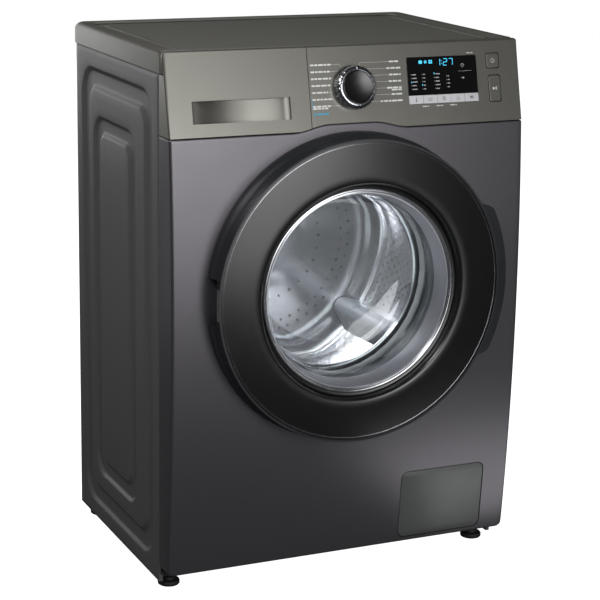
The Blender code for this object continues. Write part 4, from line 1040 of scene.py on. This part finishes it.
g_out = [(0.1606, 0.4733), (0.1606, 0.4592)] + spline([(0.1575, 0.4565), (0.1540, 0.4530), (0.1520, 0.4440), (0.1508, 0.4300), (0.1472, 0.4100), (0.1380, 0.3905), (0.1150, 0.3785), (0.0600, 0.3742), (0.0, 0.3735)], 5)
g_in = [(0.1560, 0.4733)] + spline([(0.1545, 0.4690), (0.1535, 0.4610), (0.1495, 0.4530), (0.1480, 0.4440), (0.1465, 0.4300), (0.1430, 0.4112), (0.1345, 0.3937), (0.1135, 0.3830), (0.0600, 0.3788), (0.0, 0.3780)], 5)
put(lathe("door_glass_skin", g_out[::-1] + g_in, n=192, deg=60), "door", "glass", "door_glass")

# ------------------------------------------------------------------ gasket
g_prof = [(0.1662, 0.3840), (0.1700, 0.3830), (0.1705, 0.4000), (0.1810, 0.4060), (0.1815, 0.4190), (0.1650, 0.4260), (0.1640, 0.4330), (0.1750, 0.4380),
          (0.1830, 0.4400), (0.1830, 0.4450), (0.1758, 0.4450), (0.1758, 0.4500), (0.1700, 0.4500), (0.1700, 0.4420), (0.1580, 0.4360), (0.1575, 0.4240),
          (0.1770, 0.4150), (0.1765, 0.4085), (0.1662, 0.4035)]
put(lathe("gasket_skin", rounded(g_prof, 0.0030, 4), n=160, deg=60), "cabinet", "seal", "door_gasket")

# ------------------------------------------------------------------ service flap
FLAP_Z0, FLAP_Z1 = 0.0437, 0.1580


def flap_point(x, z, h):
    return P(x, face_d(x, z) - h, z)


loops = []
for inset, h in ((0.0, 0.0028), (0.0, 0.0010), (0.0003, 0.0004), (0.0010, 0.0001)):
    loops.append([flap_point(x, z, h) for x, z in rrect(0.1021 + inset, 0.2524 - inset, FLAP_Z0 + inset, FLAP_Z1 - inset, 0.0115 - inset, 10)])
bm = bmesh.new()
rows_ = [[bm.verts.new(p) for p in lp] for lp in loops]
n = len(rows_[0])
for a, b in zip(rows_, rows_[1:]):
    for i in range(n):
        j = (i + 1) % n
        bm.faces.new((a[i], a[j], b[j], b[i]))
bm.faces.new(rows_[0])
# face: strips between matching points of the two sides keep the bow
half = n // 2
right_side = rows_[-1][:half]
left_side = rows_[-1][half:][::-1]
for i in range(half - 1):
    bm.faces.new((right_side[i], right_side[i + 1], left_side[i + 1], left_side[i]))
put(obj_from("flap_skin", bm, deg=40), "flap", "flap", "filter_flap")

# ------------------------------------------------------------------ feet
for nm, sx, k, body in (("front_left", -1, 0, "foot_fl"), ("front_right", 1, 0, "foot_fr"), ("rear_left", -1, 1, "foot_rl"), ("rear_right", 1, 1, "foot_rr")):
    prof = rounded([(0.0160, 0.0), (0.0175, 0.0012), (0.0175, 0.0062), (0.0160, 0.0078), (0.0120, 0.0086), (0.0102, 0.0100), (0.0100, 0.0134), (0.0052, 0.0134), (0.0052, 0.0400)], 0.0008, 3, closed=False)
    foot = lathe(f"foot_skin_{nm}", [(0, 0.0)] + prof + [(0, 0.0400)], x=sx * FOOT_X, d=FOOT_D[k], axis="Z", n=48)
    put(foot, body, "rubber", f"foot_{nm}")

# ------------------------------------------------------------------ drum
bask = [(0, 0.0862), (0.2300, 0.0862), (0.2355, 0.0880), (0.2375, 0.0930), (0.2375, 0.3500), (0.2340, 0.3565), (0.2150, 0.3620), (0.1580, 0.3650), (0.1530, 0.3640), (0.1520, 0.3612),
        (0.1540, 0.3590), (0.2140, 0.3585), (0.2320, 0.3530), (0.2355, 0.3470), (0.2355, 0.0960), (0.2325, 0.0912), (0.2250, 0.0892), (0.2120, 0.0886), (0.2060, 0.0900),
        (0.2010, 0.0925), (0.1950, 0.0932), (0.1890, 0.0922), (0.1840, 0.0900), (0.1760, 0.0888), (0.0900, 0.0888), (0.0820, 0.0905), (0.0740, 0.0930), (0.0560, 0.0936), (0, 0.0940)]
put(lathe("drum_skin", bask, n=192, deg=60), "drum", "steel", "drum_basket")

# The drum's perforations are near-black discs on its wall and back: painted shade in place of open holes.
hole_shade_discs = bmesh.new()


def plug(centre, normal, r, h0, h1, k=8):
    w = normal.normalized()
    u = w.orthogonal().normalized()
    v = w.cross(u)
    rings = [[hole_shade_discs.verts.new(centre + u * r * math.cos(2 * math.pi * i / k) + v * r * math.sin(2 * math.pi * i / k) + w * h) for i in range(k)] for h in (h0, h1)]
    for i in range(k):
        j = (i + 1) % k
        hole_shade_discs.faces.new((rings[0][i], rings[0][j], rings[1][j], rings[1][i]))
    hole_shade_discs.faces.new(rings[0][::-1])
    hole_shade_discs.faces.new(rings[1])


LIFT = (200, 320, 80)
rows_n = 19
for k in range(rows_n):
    d = 0.108 + k * 0.0125
    per = 96
    for i in range(per):
        a = 360.0 * (i + 0.5 * (k % 2)) / per
        if min(abs((a - L + 180) % 360 - 180) for L in LIFT) < 10:
            continue
        ar = math.radians(a)
        c = P(0.2355 * math.cos(ar), d, DOOR_Z + 0.2355 * math.sin(ar))
        plug(c, Vector((-math.cos(ar), 0, -math.sin(ar))), 0.0017, -0.0006, 0.00025)
for radius, step in ((0.1660, 7.2), (0.1515, 7.2), (0.1080, 12.0)):
    k = int(360 / step)
    for i in range(k):
        a = 360.0 * (i + (0.5 if radius == 0.1515 else 0)) / k
        ar = math.radians(a)
        plug(P(radius * math.cos(ar), 0.0888, DOOR_Z + radius * math.sin(ar)), Vector((0, -1, 0)), 0.0022, -0.0006, 0.00025, 10)
put(obj_from("drum_hole_shade_discs", hole_shade_discs, deg=30), "drum", "hole_shade")

for k, deg_ in enumerate(LIFT):
    ring = []
    for r_, da in ((0.2338, -7.4), (0.2338, -3.7), (0.2338, 0), (0.2338, 3.7), (0.2338, 7.4), (0.2150, 6.0), (0.1950, 4.6), (0.1850, 2.6), (0.1822, 0), (0.1850, -2.6), (0.1950, -4.6), (0.2150, -6.0)):
        ring.append((r_, da))
    sm = [ring[0]] + ring[1:5]
    top_pts = spline([(x, y) for x, y in ring[4:] + ring[:1]], 4)
    outline = ring[:4] + [tuple(p) for p in top_pts[:-1]]
    loops = []
    for d, sc in ((0.0960, 0.80), (0.0975, 0.90), (0.1020, 0.97), (0.1120, 1.0), (0.3280, 1.0), (0.3380, 0.97), (0.3425, 0.90), (0.3440, 0.80)):
        loops.append([P((0.2338 - (0.2338 - r_) * sc) * math.cos(math.radians(deg_ + da * (0.94 + 0.06 * sc))), d,
                        DOOR_Z + (0.2338 - (0.2338 - r_) * sc) * math.sin(math.radians(deg_ + da * (0.94 + 0.06 * sc)))) for r_, da in outline])
    put(from_loops(f"lifter_skin_{k + 1}", loops, deg=50), "drum", "lifter", f"drum_lifter_{k + 1}")

# ------------------------------------------------------------------ rear details
plate = from_loops("rear_cover", [[P(x, d, z) for x, z in rrect(-0.200 + i, 0.200 - i, 0.180 + i, 0.680 - i, 0.040 - i, 10)] for i, d in
                                  ((0.0, 0.0058), (0.0, 0.0042), (0.0010, 0.0036), (0.0060, 0.0030), (0.0120, 0.0030))], "zinc")
put(plate, "cabinet", "zinc")
screws = []
for x, z in ((-0.188, 0.20), (0.188, 0.20), (-0.188, 0.43), (0.188, 0.43), (-0.188, 0.66), (0.188, 0.66)):
    s_ = lathe("s", [(0, 0.0030), (0.0042, 0.0028), (0.0042, 0.0018), (0.0034, 0.0010), (0.0016, 0.0008), (0.0014, 0.0020), (0, 0.0020)][::-1], x=x, z=z, n=20)
    screws.append(s_)
for x, z in ((-0.284, 0.06), (0.284, 0.06), (-0.284, 0.30), (0.284, 0.30), (-0.284, 0.55), (0.284, 0.55), (-0.284, 0.79), (0.284, 0.79)):
    s_ = lathe("s", [(0, 0.0062), (0.0042, 0.0058), (0.0042, 0.0048), (0.0034, 0.0040), (0.0016, 0.0038), (0.0014, 0.0050), (0, 0.0050)][::-1], x=x, z=z, n=20)
    screws.append(s_)
put(join("rear_screws", screws, "bright"), "cabinet", "bright")
plugs = [lathe("s", [(0, 0.0062), (0.0170, 0.0060), (0.0170, 0.0046), (0.0155, 0.0036), (0.0110, 0.0034), (0.0100, 0.0046), (0, 0.0046)][::-1], x=x, z=z, n=40)
         for x, z in ((-0.235, 0.235), (0.235, 0.235), (-0.235, 0.600), (0.235, 0.600))]
put(join("transport_plugs", plugs, "black"), "cabinet", "black")

# ------------------------------------------------------------------ carried-over nodes
look = {
    "rear_panel": "zinc", "base_pan": "black", "dispenser_housing": "white", "inlet_valve": "white", "cable_gland": "black", "upper_brace": "zinc",
    "suspension_spring_left": "bright", "suspension_spring_right": "bright", "damper_cylinder_left": "black", "damper_cylinder_right": "black",
    "drain_pump": "black", "sump_hose": "rubber", "door_lock": "black", "door_hinge_bracket": "zinc", "tub_front_shell": "tub", "tub_rear_shell": "tub",
    "shaft_bearing": "bright", "upper_counterweight": "stone", "front_counterweight": "stone", "heater": "bright", "motor_housing": "cast", "drive_belt": "rubber",
    "damper_rod_left": "bright", "damper_rod_right": "bright", "drum_spider_shaft": "cast", "drum_pulley": "cast", "motor_rotor": "bright",
    "door_latch_hook": "bright", "pump_filter": "white",
}
for node, key in look.items():
    ob = NODES[node]
    for s_ in ob.material_slots:
        s_.material = M[key]

now_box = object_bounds()
plain = lambda b: [[float(v) for v in p] for p in b]
{"cad": plain(cad_box), "visual": plain(now_box)}
